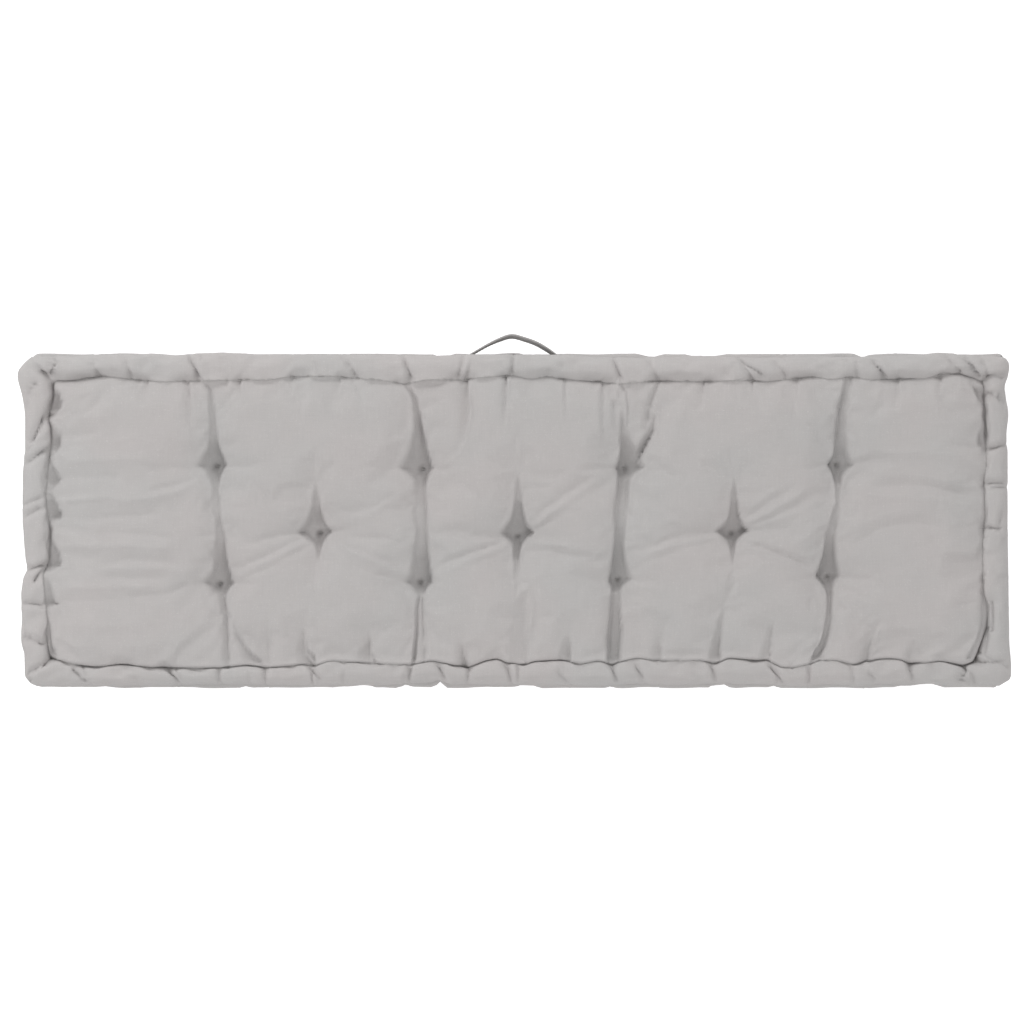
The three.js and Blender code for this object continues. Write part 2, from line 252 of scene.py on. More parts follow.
seamBackAt, seamFrontAt = tableLine(backSeam), tableLine(frontSeam)
seamLeftAt, seamRightAt = tableLine(leftSeam, byX=False), tableLine(rightSeam, byX=False)
outBackAt, outFrontAt = tableLine(backOutline), tableLine(frontOutline)
outLeftAt, outRightAt = tableLine(leftOutline, byX=False), tableLine(rightOutline, byX=False)

# The eleven tufts, and the channels that they draw through the face. Each channel has its steep
# side (1 right, -1 left, 0 both; past 1 its soft side is a wide ramp) and rows from back to
# front: y, its left side, its right side and its depth.
tufts = [
    (-363, 66), (-113, 62.5), (132.5, 63.5), (391, 67.5), (-236, -15), (3, -18.5), (263.5, -16),
    (-359, -77), (-115, -75.5), (124, -72.5), (380, -68.5),
]
tuftShape = {
    "core": 2.5, "coreX": 3.6, "coreY": 2.7, "slit": 0.5, "slitX": 15, "slitY": 2.6,
    "pit": 16, "pitX": 8, "pitY": 8, "pitForward": 3, "hollow": 4.0, "hollowReach": 52,
    "hollowRound": 1.3,
}

channels = [
    (0.9, [(169, -384, -376, 3), (158, -372, -368, 6), (146, -371, -366, 8), (121, -370, -363, 10),
        (97, -370.5, -361, 12), (85, -373, -358, 14), (75, -378, -353, 15), (66, -382, -351, 15),
        (60, -375, -355, 15), (54, -371.5, -357.5, 14), (47, -369, -359, 12.5),
        (40, -367, -359.5, 10.5), (18, -367, -358, 9), (0, -362.5, -356, 10),
        (-24, -363, -351, 11.5), (-49, -364, -349, 14), (-63, -367, -346.5, 15),
        (-77, -376, -343, 15), (-83, -366, -348.5, 15), (-89, -361, -350.5, 13)]),
    (1.5, [(-82, -364, -351.5, 12.5), (-95, -360, -351.5, 12), (-106, -357, -349.8, 11.5),
        (-121, -354, -347.8, 11), (-146, -353, -347, 11), (-164, -354, -347, 11),
        (-179, -355, -346, 9)]),
    (0.8, [(169, -136, -127, 5), (158, -130, -124, 8), (146, -124, -118, 10),
        (131, -121.5, -115.5, 11), (109, -121.5, -112, 13), (87, -126, -107, 14),
        (75, -130, -104, 15), (63, -136, -101, 15), (57, -127, -105.5, 15),
        (50, -120.5, -107.5, 14.5), (42, -119, -108, 13), (36, -119, -107.5, 12),
        (12, -119, -107, 11.5), (-12, -119, -106.5, 11.5), (-30, -121, -105.5, 12),
        (-49, -123, -104.5, 14), (-66, -125, -102.5, 15), (-76, -131, -101, 15),
        (-82, -123, -107, 15), (-89, -120, -110, 12)]),
    (0, [(-86, -117, -112.5, 5), (-120, -119, -111.5, 6), (-150, -122, -110, 6.5),
        (-179, -125, -109, 7)]),
    (0, [(-88, -117, -114.8, 5), (-97, -118.4, -116, 9.5), (-121, -120.5, -117.6, 11),
        (-146, -122.8, -119.4, 11.5), (-170, -125.4, -121.4, 12), (-179, -126.5, -121, 10)]),
    (0, [(-88, -114.8, -113, 5), (-97, -114.2, -111.8, 8.5), (-128, -113, -110.2, 10),
        (-152, -112, -109, 10.5), (-168, -111.3, -108, 11), (-179, -111, -107, 9)]),
    (-0.8, [(166, 127, 130.5, 5), (152, 134, 137.5, 5), (134, 136.5, 139.5, 4), (117, 136, 139, 3),
        (105, 135, 138, 0)]),
    (-0.4, [(136, 128.5, 131, 0), (121, 128.5, 133.5, 8), (97, 128.5, 139.5, 12),
        (79, 128, 147, 14), (70, 126, 151, 15), (63, 123.5, 154, 15), (57, 125.5, 144, 15),
        (50, 125.5, 139, 13), (24, 122.5, 137, 11.5), (-6, 121.5, 133.5, 11.5),
        (-30, 121, 132, 12.5), (-49, 118, 133.5, 14), (-63, 116.5, 135.5, 14.5),
        (-73, 113.5, 139, 14), (-80, 117, 130, 14.5), (-87, 117.5, 127.5, 12.5)]),
    (0, [(-80, 117.5, 127.5, 11), (-102, 116, 127.5, 11.5), (-128, 114, 128.5, 12.5),
        (-152, 112.5, 129, 13), (-166, 112, 129, 13), (-179, 112, 129, 11)]),
    (0.9, [(168, 171.5, 177, 8), (152, 165, 170, 10), (140, 161, 166, 11),
        (121, 156.8, 161.8, 10.5), (110, 153.5, 157.5, 5)]),
    (0.8, [(134, 168.8, 171, 0), (121, 166, 170, 9), (109, 162.5, 169, 11.5),
        (97, 155.5, 163.5, 12.5), (85, 148, 157, 13.5), (77, 143, 153, 13.5), (70, 140, 150, 14)]),
    (-0.35, [(176, 401, 411, 9), (155, 397.5, 406.5, 11), (134, 392.5, 402.5, 11.5),
        (109, 389, 400.5, 12), (91, 388, 402, 12.5), (79, 387, 403, 14), (73, 384, 405.5, 14),
        (67, 379.5, 409, 14), (61, 384, 402.5, 14.5), (55, 386, 398, 14.5), (47, 388.5, 396.5, 13),
        (40, 390, 396, 10), (21, 390, 395, 6), (10, 386, 395, 8), (-6, 381.5, 391, 10),
        (-24, 376.5, 387.5, 12), (-44, 373.5, 388.5, 14.5), (-56, 370, 390, 15.5),
        (-68, 366, 392, 15), (-75, 371.5, 387, 14.5), (-83, 377, 385, 13.5),
        (-92, 378.5, 385, 12)]),
    (0.4, [(-88, 378, 385, 11.5), (-102, 378.2, 384.3, 11.5), (-121, 377, 383, 11.5),
        (-140, 373.5, 380.2, 12), (-155, 368, 376, 12.5), (-165, 361, 373, 12.5),
        (-179, 355, 371, 11)]),
    # wedges above and below the three middle tufts
    (0.5, [(49, -243, -240.5, 0), (38, -243.5, -239.5, 6), (28, -244.5, -238, 9),
        (18, -245.5, -236.5, 11), (8, -247.5, -234.5, 12.5), (0, -250.5, -232.5, 13.5),
        (-8, -255.5, -229, 13), (-15, -261.5, -222.5, 13.5), (-21, -252, -229, 14),
        (-27, -243, -233, 14), (-34, -240.5, -235, 12), (-42, -240, -236.5, 8),
        (-54, -240, -238, 0)]),
    (0.5, [(58, 2.5, 5, 0), (46, 1.5, 5.5, 6), (34, 0.5, 7, 9), (22, 0, 8, 11.5), (10, -2, 9.5, 13),
        (0, -5, 11, 14), (-7, -9, 14, 15), (-15, -15, 22, 15), (-21, -9, 14.5, 15),
        (-27, -3, 8.5, 15), (-34, -1, 6.5, 14), (-44, -0.5, 5.5, 12.5), (-54, 0, 5, 9),
        (-68, 0.5, 4.5, 6), (-83, 0.5, 3.5, 3), (-100, 0, 2, 0)]),
    (0.5, [(53, 266, 267.5, 0), (44, 264.8, 267.8, 5), (34, 263, 268.7, 9), (22, 262, 269.4, 11.5),
        (10, 260.5, 270.5, 12.5), (0, 258.5, 272.5, 13.5), (-7, 254.5, 276, 14.5),
        (-13, 246.5, 282, 15), (-19, 252, 273, 15), (-25, 258.5, 269, 14.5),
        (-31, 261, 267.5, 13.5), (-38, 262.5, 267, 11), (-46, 263, 266, 7),
        (-56, 263.5, 265.5, 0)]),
    # pleats that start at the front seam
    (1, [(-87, 2, 14, 0), (-105, -2, 14.5, 4.5), (-125, -4, 14.5, 7), (-150, -5, 14, 9),
        (-179, -5, 14, 11)]),
    (1, [(-124, -342, -339.5, 0), (-135, -340, -335.5, 7), (-146, -336.5, -330.5, 10),
        (-156, -333, -325, 11), (-164, -330, -317, 11.5), (-170, -328, -309, 11.5),
        (-179, -328, -301, 10.5)]),
    (1, [(-110, -300, -297, 0), (-135, -306, -297, 3.5), (-155, -310, -297.5, 6),
        (-179, -312, -298, 9)]),
    (1, [(-127, -257, -255, 0), (-146, -260, -254.5, 8), (-158, -262, -252, 10),
        (-165, -263, -243, 11), (-179, -263, -242, 11)]),
    (1, [(-134, -178.5, -176, 0), (-150, -180, -175.5, 8), (-160, -190, -175, 9),
        (-179, -196, -174, 11)]),
    (1, [(-144, -67, -65.5, 0), (-160, -67, -61, 6), (-179, -69, -57, 9)]),
    (1, [(-134, 64, 66, 0), (-152, 57, 67.5, 6), (-165, 54, 68, 8), (-179, 50, 68, 9)]),
    (1, [(-144, 170, 176, 0), (-158, 166, 177, 6), (-179, 161, 177, 8)]),
    (1, [(-103, 253, 255.5, 0), (-121, 247, 253, 8), (-146, 240.5, 250, 11.5),
        (-164, 236, 249, 12.5), (-179, 233, 249, 11)]),
    (1, [(-118, 312, 314.5, 0), (-136, 308, 312.5, 8), (-155, 303, 311, 11), (-179, 296, 310, 11)]),
    (1, [(-130, 438, 440, 0), (-146, 430, 437, 5), (-160, 422, 434, 8), (-179, 415, 431, 9)]),
    (0, [(-148, 482, 490, 2), (-160, 478, 494, 5), (-179, 474, 498, 7)]),
    # hollows beside the seams of the two ends, between the fuller lobes of the face
    (0.6, [(160, -570, -560, 7), (152, -570, -553.5, 12.5), (144, -570, -551.5, 13.5),
        (135, -570, -553, 13.5), (127, -570, -558, 9)]),
    (0.6, [(114, -570, -561, 5), (108, -570, -556, 9.5), (102, -570, -552.5, 12),
        (93, -570, -551.5, 12.5), (86, -570, -553.5, 12), (79, -570, -561, 8)]),
    (0.6, [(79, -572, -565, 7), (66, -573, -561, 11), (58, -573, -556, 12),
        (51, -573, -552.5, 12.5), (45, -573, -554, 12), (38, -573, -560, 10)]),
    (0.6, [(32, -573, -564, 9), (22, -573, -559, 12), (14, -573, -555, 12.5), (7, -573, -550.5, 13),
        (2, -572, -552, 12.5), (-3, -572, -563, 6)]),
    (0.6, [(-20, -570, -563, 5), (-30, -571, -558, 11), (-38, -572, -554.5, 12),
        (-46, -573, -552, 12.5), (-56, -573, -551.5, 12.5), (-60, -573, -560, 7)]),
    (1, [(-70, -574, -567, 4), (-85, -575, -563, 9), (-97, -575, -560, 11.5),
        (-102, -572, -556, 12), (-105, -572, -565, 5)]),
    (0.5, [(-118, -573, -566, 4), (-132, -575, -563.5, 11), (-150, -575, -561.5, 13),
        (-160, -575, -559, 14), (-172, -573, -557, 12)]),
    (-0.6, [(168, 553, 566, 6), (158, 558, 569, 12), (148, 563, 573, 12), (139, 568, 574, 7)]),
    (-0.6, [(110, 566, 573, 5), (102, 563, 574, 12), (92, 563.5, 574, 12), (86, 568, 574, 5)]),
    (-1, [(-84, 566, 576, 5), (-100, 567, 580, 9), (-130, 566, 580, 10), (-150, 558, 574, 9),
        (-166, 550, 568, 9)]),
]
channelShape = {
    "depth": 0.55, "deepFrom": 11, "deepMore": 2.3, "fade": 4, "reach": 60,
    "steep": 1.2, "soft": 2.4, "softest": 9, "softShare": 0.27, "rampShare": 0.75,
    "tilt": 0.35, "shoulder": 0.10, "shoulderReach": 8,
}

# Taut folds and creases of the face: how far each stands up (or dips, where less than 0)
# at both ends, its half width at both ends, and its line
folds = [
    # from the first middle tuft
    (2.2, 1.1, 3.0, 3.2, [(-253, -26), (-285, -45), (-310, -55), (-338, -70)]),
    (-2.1, -1.7, 2.6, 3.0, [(-255, -20), (-288, -38), (-316, -50), (-341, -62)]),
    (-1.7, -1.7, 2.6, 3.0, [(-256, -34), (-282, -52), (-310, -65), (-338, -74)]),
    (1.4, 1.1, 2.6, 3.0, [(-270, -46), (-300, -64), (-330, -74)]),
    (-4.2, -0.8, 4, 10, [(-252, -16), (-266, -18), (-300, -20), (-330, -34)]),
    (-3.6, -0.8, 4, 9, [(-226, -16), (-212, -13), (-190, -13)]),
    (2.1, 1.4, 2.8, 3.4, [(-212, -32), (-182, -47), (-156, -57), (-132, -67)]),
    (-1.7, -1.1, 2.6, 3.0, [(-214, -24), (-180, -40), (-155, -50), (-132, -58)]),
    (-1.7, -2.2, 2.6, 3.0, [(-200, -52), (-172, -64), (-150, -70), (-128, -76)]),
    (-1.4, -0.8, 3, 5, [(-219, -19), (-176, -22), (-140, -24)]),
    # from the second
    (-4.2, -1.1, 4, 9, [(-8, -19), (-30, -21), (-66, -18)]),
    (-3.4, -2.8, 3.0, 3.2, [(-8, -24), (-33, -32), (-55, -40), (-82, -49), (-104, -64)]),
    (2.0, 1.7, 3.0, 3.4, [(-10, -31), (-34, -40), (-60, -51), (-98, -70)]),
    (1.7, 1.1, 3, 5, [(-12, -28), (-36, -28), (-62, -29)]),
    (2.4, 1.4, 3.0, 3.6, [(26, -6), (52, 14), (74, 30), (104, 50)]),
    (1.7, 0.8, 2.6, 3.0, [(50, -2), (66, 8), (90, 26)]),
    (-2.5, -1.4, 2.8, 3.2, [(16, -13), (38, -4), (58, 5), (90, 20)]),
    (-1.7, -1.1, 2.6, 3.2, [(20, 0), (44, 20), (70, 38), (104, 58)]),
    (-3.6, -0.8, 4, 9, [(18, -20), (36, -26), (60, -28)]),
    (2.0, 1.1, 3.4, 5, [(24, -26), (52, -29), (76, -35)]),
    (-1.4, -1.7, 3.0, 4.0, [(34, -36), (58, -41), (76, -43), (94, -42)]),
    # from the third
    (-3.9, -0.8, 4, 10, [(250, -17), (226, -16), (184, -15)]),
    (2.0, 1.4, 3.0, 3.6, [(242, -21), (206, -26), (182, -33), (150, -47)]),
    (-1.8, -1.8, 2.8, 3.2, [(240, -28), (212, -33), (188, -40), (160, -52), (140, -64)]),
    (-1.4, -1.4, 2.8, 3.4, [(206, -18), (184, -24), (156, -38)]),
    (-3.6, -0.8, 4, 10, [(274, -16), (290, -12), (322, -9), (350, -9)]),
    (2.2, 1.4, 3.0, 3.4, [(280, -4), (300, 5), (328, 22), (362, 43)]),
    (-1.7, -1.1, 2.6, 3.0, [(278, 2), (294, 13), (320, 30), (352, 50)]),
    (-2.0, -1.1, 2.6, 3.0, [(286, -4), (308, 3), (332, 14), (362, 31)]),
    (1.4, 1.1, 2.6, 3.2, [(302, -3), (334, 6), (364, 18)]),
    (1.4, 0.8, 2.6, 3.0, [(284, 14), (304, 28), (326, 44)]),
    (-2.8, -2.5, 3.0, 3.2, [(279, -27), (304, -34), (328, -44), (350, -52), (372, -60)]),
    (1.7, 1.4, 2.8, 3.2, [(280, -33), (304, -42), (330, -52), (360, -64)]),
    # finer creases between them
    (-1.7, -0.8, 2.6, 3.2, [(-310, 40), (-300, 28), (-290, 16)]),
    (-1.7, -0.8, 2.6, 3.4, [(-146, 32), (-168, 16), (-192, 10)]),
    (1.3, 0.8, 2.6, 3.4, [(-150, 24), (-176, 6), (-204, 2)]),
    # level with the tufts
    (-2.1, -0.4, 4, 10, [(-376, 65), (-396, 63), (-430, 66)]),
    (-1.7, -0.3, 4, 9, [(-352, 65), (-336, 63), (-308, 66)]),
    (-2.1, -0.4, 4, 10, [(-128, 61), (-150, 63), (-194, 64)]),
    (-1.7, -0.3, 4, 9, [(-101, 62), (-88, 61), (-64, 64)]),
    (-2.0, -0.3, 4, 9, [(122, 64), (104, 61), (82, 63)]),
    (-1.7, -0.3, 4, 9, [(150, 64), (166, 61), (198, 64)]),
    (-2.1, -0.4, 4, 10, [(378, 66), (358, 62), (318, 63)]),
    (-1.5, -0.3, 4, 9, [(402, 67), (420, 70), (448, 78)]),
    (-1.8, -0.3, 4, 10, [(-374, -78), (-392, -80), (-420, -79)]),
    (-1.4, -0.3, 4, 9, [(-344, -77), (-326, -78), (-300, -82)]),
    (-1.8, -0.3, 4, 9, [(-130, -77), (-146, -78), (-168, -78)]),
    (-1.5, -0.3, 4, 9, [(-100, -76), (-86, -76), (-62, -80)]),
    (-1.7, -0.3, 4, 10, [(110, -73), (92, -72), (66, -68)]),
    (-1.5, -0.3, 4, 9, [(138, -73), (154, -76), (184, -76)]),
    (-1.7, -0.3, 4, 10, [(366, -70), (348, -73), (320, -77)]),
    (-1.5, -0.3, 4, 9, [(394, -69), (412, -72), (440, -72)]),
    # the cloth is creased hard along one side of a channel
    (-1.5, -2.0, 1.8, 2.0, [(-130, 164), (-122, 145), (-116, 124), (-112.5, 100), (-110, 76)]),
    (-2.0, -2.0, 2.0, 2.2, [(-371, 156), (-370, 130), (-370, 98), (-372, 84)]),
    (-2.5, -2.5, 2.0, 2.2, [(-120.5, 56), (-120.5, 20), (-119.5, -20), (-121, -48)]),
    (-1.5, -2.0, 1.8, 2.0, [(-350, -96), (-347, -120), (-346, -150), (-346, -175)]),
    (-2.5, -3.0, 1.3, 1.4, [(118.6, -84), (115.6, -128), (113.6, -182)]),
    (-2.0, -2.0, 2.0, 2.2, [(137, 50), (136, 20), (132, -10)]),
    (-2.5, -3.0, 2.0, 2.2, [(399, 158), (393.5, 132), (390, 109), (388.5, 84)]),
    (-2.0, -2.0, 2.0, 2.2, [(391, -2), (387, -28), (388, -46)]),
    # a fine pleat stands up in front of the second middle tuft
    (3.2, 2.6, 2.0, 2.4, [(19.5, -84), (20, -110), (18.5, -140), (17, -172)]),
    # a fine crease beside the fourth channel
    (-1.3, -1.3, 1.8, 1.8, [(400, 40), (402, 22), (402, 8)]),
]
foldShape = {"reach": 40, "crease": 1.05, "ridge": 1.4, "start": (-0.08, 0.12), "end": (0.65, 1.0)}

# Ripples of the two end panels: how far each crest stands up (or each trough dips, where less
# than 0), its width on the back side and on the front side, and its line
ripples = [
    (1.6, 12, 10, [(-535, 122), (-505, 123), (-478, 123)]),
    (-2.4, 11, 6, [(-556, 101), (-519, 102), (-498, 108)]),
    (2.1, 11, 7, [(-548, 69), (-504, 73), (-450, 73), (-430, 70)]),
    (-2.0, 8, 8, [(-556, 52), (-516, 51), (-470, 53)]),
    (3.0, 10, 9, [(-558, 22), (-522, 26), (-499, 26.5), (-468, 24), (-441, 26), (-405, 28)]),
    (-2.6, 9, 5, [(-530, 0), (-500, 2), (-480, 5), (-443, 6), (-420, 8)]),
    (-2.4, 6, 8, [(-508, -15), (-470, -15), (-443, -18), (-405, -23)]),
    (3.4, 10, 9, [(-548, -32), (-492, -31), (-455, -32), (-405, -34)]),
    (-2.6, 9, 5, [(-492, -50), (-455, -49), (-425, -50), (-397, -57)]),
    (2.2, 4, 7, [(-505, -60), (-455, -57), (-425, -58), (-392, -63)]),
    (-2.6, 7, 5, [(-500, -70), (-455, -70), (-418, -69)]),
    (2.4, 10, 8, [(-558, -83), (-504, -81), (-468, -81), (-435, -80)]),
    (-2.5, 4, 7, [(-470, -92), (-431, -90), (-413, -85), (-394, -79)]),
    (-1.9, 8, 12, [(-558, -97), (-510, -97), (-462, -96)]),
    (2.4, 20, 14, [(-545, -128), (-490, -127), (-420, -123)]),
    (-2.9, 4, 3.5, [(-442, 32), (-425, 39), (-409, 43), (-395, 47), (-382, 51)]),
    (2.8, 3.5, 5, [(-442, 28), (-419, 32), (-404, 36), (-389, 43), (-381, 47)]),
    (2.5, 14, 9, [(400, 77), (443, 79), (492, 83), (522, 79), (547, 73), (566, 53)]),
    (1.6, 10, 6, [(455, 56), (480, 55), (500, 51), (520, 47), (560, 50)]),
    (-3.2, 7, 7, [(430, 40), (468, 43), (498, 42), (516, 38), (534, 35), (566, 35)]),
    (2.2, 6, 10, [(422, 31), (468, 28), (516, 24), (566, 22)]),
    (2.1, 5, 5, [(512, 24), (540, 18), (559, 4), (566, -4)]),
    (1.5, 8, 8, [(408, -14), (431, 0), (449, 7), (474, 10), (500, 7)]),
    (-2.6, 8, 8, [(412, -28), (421, -22), (443, -10), (468, -4), (492, -4), (510, -7), (526, -14)]),
    (2.4, 14, 8, [(512, -37), (540, -40), (568, -41)]),
    (-1.9, 10, 10, [(520, -68), (545, -68), (568, -67)]),
    (-2.8, 8, 7, [(382, -70), (405, -70.5), (440, -72)]),
    (1.8, 12, 14, [(520, -94), (568, -94)]),
]
rippleShape = {"reach": 45, "start": (-0.05, 0.15), "end": (0.8, 1.0)}

# Gathers that run into the face from its long seams: depth at the seam, reach of the soft
# side, which side is steep (1 right, -1 left), line
gathers = [
    (2.3, 3, 1, [(-457, 172), (-457, 156)]),
    (3.4, 3, 1, [(-446, 172), (-445, 148)]),
    (5.0, 3, 1, [(-397, 172), (-394, 140), (-390, 108)]),
    (2.8, 3, 1, [(-349, 172), (-349, 158)]),
    (4.0, 3, 1, [(-333, 172), (-334, 138)]),
    (2.2, 3, 1, [(-270, 172), (-270, 152)]),
    (1.9, 3, 1, [(-213, 172), (-214, 150)]),
    (6.8, 6, 1, [(-57, 172), (-57, 146), (-58, 121), (-62, 97), (-72, 76)]),
    (5.6, 2.0, 1, [(-11, 176), (-11, 140), (-12, 108)]),
    (2.0, 2.0, -1, [(60, 172), (61, 140), (63, 118)]),
    (3.4, 3.4, -1, [(106, 172), (105, 130), (106, 90)]),
    (2.4, 2.4, -1, [(119, 142), (120, 125), (122, 108)]),
    (3.7, 2.5, 1, [(231, 172), (229, 154), (226, 132)]),
    (3.1, 3, 1, [(289, 172), (289, 156)]),
    (2.5, 3, 1, [(343, 172), (343, 150)]),
    (3.4, 4.5, 1, [(466, 172), (464, 134)]),
    (4.0, 3.5, 1, [(517, 174), (517, 150)]),
    (5.3, 6.0, 1, [(-244, -178), (-258, -160), (-256, -132)]),
    (5.0, 6.0, 1, [(-168, -176), (-176, -160), (-176, -130)]),
    (4.0, 3.5, 1, [(-60, -178), (-64, -160), (-66, -140)]),
    (4.7, 7.0, 1, [(67, -176), (66, -160), (66, -144)]),
    (2.8, 7.0, 1, [(176, -172), (178, -150), (184, -120)]),
    (2.2, 3.0, 1, [(334, -180), (334, -160)]),
    (5.3, 7.0, 1, [(428, -176), (430, -154), (440, -126)]),
    (2.2, 3.0, 1, [(360, -96), (360, -122)]),
]
gatherShape = {
    "reach": 25, "start": (-0.1, 0.05), "foot": -0.3, "wall": 1.5,
    "lip": 0.26, "lipAt": 3.4, "lipReach": 2.2, "seamPull": 1.5, "pullShare": 0.8,
    "fade": 0.6, "softReach": 1.5, "softRound": 1.2,
}

# Creases of the upper roll, from the seam to the outline: x1, y1, x2, y2, strength
rollCreases = [
    (-560, 176, -561, 196, 1.1), (-504, 174, -511, 186, 0.35), (-466, 173, -473, 194, 0.6),
    (-384, 170, -395, 200, 1.0), (-194, 175, -202, 190, 0.55), (-126, 169, -135, 199, 0.8),
    (-69, 172, -63, 197, 0.65), (-59, 172, -55, 184, 0.4), (-4, 175, -2, 198, 0.7),
    (127, 172, 121, 195, 0.8), (172, 172, 164, 192, 0.45), (298, 176, 276, 194, 0.9),
    (287, 172, 278, 186, 0.6), (328, 174, 316, 194, 0.5), (415, 174, 415, 195, 0.35),
    (448, 173, 435, 195, 1.0), (538, 181, 522, 201, 0.55), (560, 175, 546, 199, 0.9),
    (571, 178, 568, 194, 0.5), (571, 45, 590, 45, 0.9), (580, 39, 596, 40, 0.7),
    (570, -9, 587, -10, 0.8), (587, -10, 591, 3, 0.6), (572, 86, 594, 91, 1.0),
    (577, -100, 577, -130, 0.6), (574, -131, 568, -158, 0.5), (-532, -181, -520, -199, 0.8),
    (-523, -179, -514, -194, 0.4), (-419, -181, -407, -200, 1.0), (-411, -181, -405, -190, 0.5),
    (-359, -182, -359, -200, 0.7), (-322, -188, -322, -200, 0.4), (-303, -182, -303, -200, 0.7),
    (-247, -179, -239, -190, 0.8), (-246, -188, -246, -200, 0.6), (-208, -188, -208, -200, 0.4),
    (-127, -180, -130, -202, 1.0), (-134, -192, -134, -202, 0.5), (-91, -178, -85, -195, 1.0),
    (-56, -182, -58, -197, 0.6), (-9, -178, -5, -198, 0.9), (4, -181, 4, -190, 0.4),
    (55, -190, 67, -200, 0.6), (118, -177, 123, -194, 0.9), (148, -178, 158, -198, 0.8),
    (239, -177, 244, -197, 0.8), (312, -177, 325, -198, 1.0), (318, -188, 318, -202, 0.6),
    (357, -180, 357, -199, 0.5), (409, -181, 411, -196, 0.45), (431, -188, 443, -200, 0.5),
    (479, -176, 485, -201, 1.0), (544, -180, 544, -198, 1.0), (541, -190, 542, -203, 0.6),
    (555, -188, 560, -200, 0.5), (-564, 127, -586, 99, 1.05), (-584, 93, -592, 85, 0.4),
    (-567, 84, -592, 71, 0.8), (-575, 26, -592, 21, 0.5), (-577, 13, -590, 7, 0.5),
    (-571, -55, -594, -60, 0.9), (-566, -56, -579, -71, 0.9), (-568, -102, -593, -101, 0.8),
    (-570, -148, -593, -143, 0.7), (-581, 149, -590, 143, 0.3), (-580, 165, -591, 156, 0.8),
    (-565, 174, -577, 182, 1.3), (-568, -172, -588, -184, 0.9), (572, 172, 590, 174, 0.8),
    (570, 152, 592, 146, 0.7), (564, -170, 592, -172, 0.7), (566, -162, 596, -178, 0.5),
]
creaseShape = {
    "pinch": 0.54, "reach": 2.1, "sharp": 1.2, "softPinch": 0.10, "softReach": 9,
    "before": 2, "past": 3,  # how far a crease runs on beyond its two ends
    "puff": 0.11, "puffFrom": 7, "puffReach": 5, "puffEnd": 30,
    "stitchDepth": 5, "stitchReach": 8, "stitchWidth": 4, "stitchRound": 1.6,
    "onEnd": 564,  # creases that start further out than this belong to the two ends
}

# Sections of the rolls, from the seam over the top to the boxing, and from the boxing to the
# back's seam: out from the seam, height
upperSection = [
    (0, 56), (0.4, 60.6), (1.5, 63.9), (5, 65.8), (11.5, 66.4), (18, 65.6), (23.5, 63.2),
    (27.6, 59.2), (30, 55), (30.4, 51.4), (28.6, 48.4), (24.5, 46.9), (21, 46),
]
lowerSection = [
    (21, 24), (25, 23.2), (30.5, 21.2), (34, 16), (33.5, 9.5), (29, 3.2), (23, 0.2), (16, 0),
    (9, 0), (4, 2.2), (0, 7.5),
]
rollShape = {
    "bendShare": 0.8, "crowd": 1.3,  # how much closer the rings lie in a bend, and near the seam
    "coreOut": 16, "coreUp": 54,  # what a pinch draws the roll to
    "lowCoreOut": 17, "lowCoreUp": 12,
    "grip": ((0, 0.2), (0.8, 1.0)), "lowGrip": ((0.02, 0.2), (0.62, 0.8)),  # where it is pinched
    "toFlat": (0.72, 1.0),  # where the upper roll's waving lines become straight
    "uneven": [(0.05, 30, 34, 41), (0.028, 26, 13, 42), (0.012, 40, 6, 43)],
    "lowUneven": [(0.05, 30, 34, 62)],
    "tucks": [(1.6, 22, 26, 61)], "tuckFrom": 0.7, "tuckPinch": 0.30,
    "rim": (20, 29), "rimHeld": 0.8,  # the outline is pinched less than the top
    "back": (150, 165), "backGentle": 0.8, "gentleBend": 1.5,  # it leaves the back seam gently
    "boxingUneven": [(1.3, 0.6, 30, 51), (0.8, 0.3, 9, 52)],
    "besideStrap": (112, 160),  # the boxing is flat behind the strap
}

faceGrid = {
    "columns": (68, 44, 44, 46, 46, 46, 46, 60), "rows": (36, 22, 30, 36),
    "rowLines": (-75, -17, 65), "measures": 1500,
    "crowd": 1.5, "crowdReach": 4.5, "lineCrowd": 1.0, "rowCrowd": 0.3, "lineReach": 9,
    "ends": (450, 560), "front": (-165, -85), "back": (75, 160),  # where the sides' spacing holds
    "nearSeam": 160, "nearEnd": 560, "between": 165,  # creases further out belong to a side
    "cornerPull": 3, "cornerReach": 8,
    "upperRings": 22, "boxingRings": 4, "lowerRings": 18,
}
columnLines = [
    leftSeam,
    [(-348, -173), (-346, -146), (-347, -128), (-357, -77), (-360, -12), (-363, 66), (-366, 97),
        (-369, 146), (-376, 170)],
    [(-240, -173), (-236, -40), (-236, -5), (-242, 47), (-246, 170)],
    [(-120, -173), (-115, -121), (-115, -77), (-114, -20), (-113, 63), (-115, 109), (-118, 134),
        (-130, 170)],
    [(1, -173), (0, -50), (4, -19), (5, 53), (2, 170)],
    [(116, -173), (118, -134), (124, -73), (130, 0), (133, 64), (136, 134), (128, 170)],
    [(248, -173), (263, -53), (263.5, -17), (268, 51), (270, 170)],
    [(361, -173), (372, -152), (380, -109), (381, -69), (381, -30), (390, 6), (390, 67), (395, 128),
        (404, 170)],
    rightSeam,
]


def crowded(low, high, count, places, atEnds):
    # places from low to high, without the last, closer together round the given ones
    fine = np.linspace(low, high, faceGrid["measures"])
    density = np.ones(len(fine))
    for place in places:
        density += faceGrid["crowd"] * bell(fine - place, faceGrid["crowdReach"])
    for end in (low, high):
        density += atEnds * bell(fine - end, faceGrid["lineReach"])
    run = summed((density[1:] + density[:-1]) / 2)
    return np.interp(np.arange(count) / count * run[-1], run, fine)


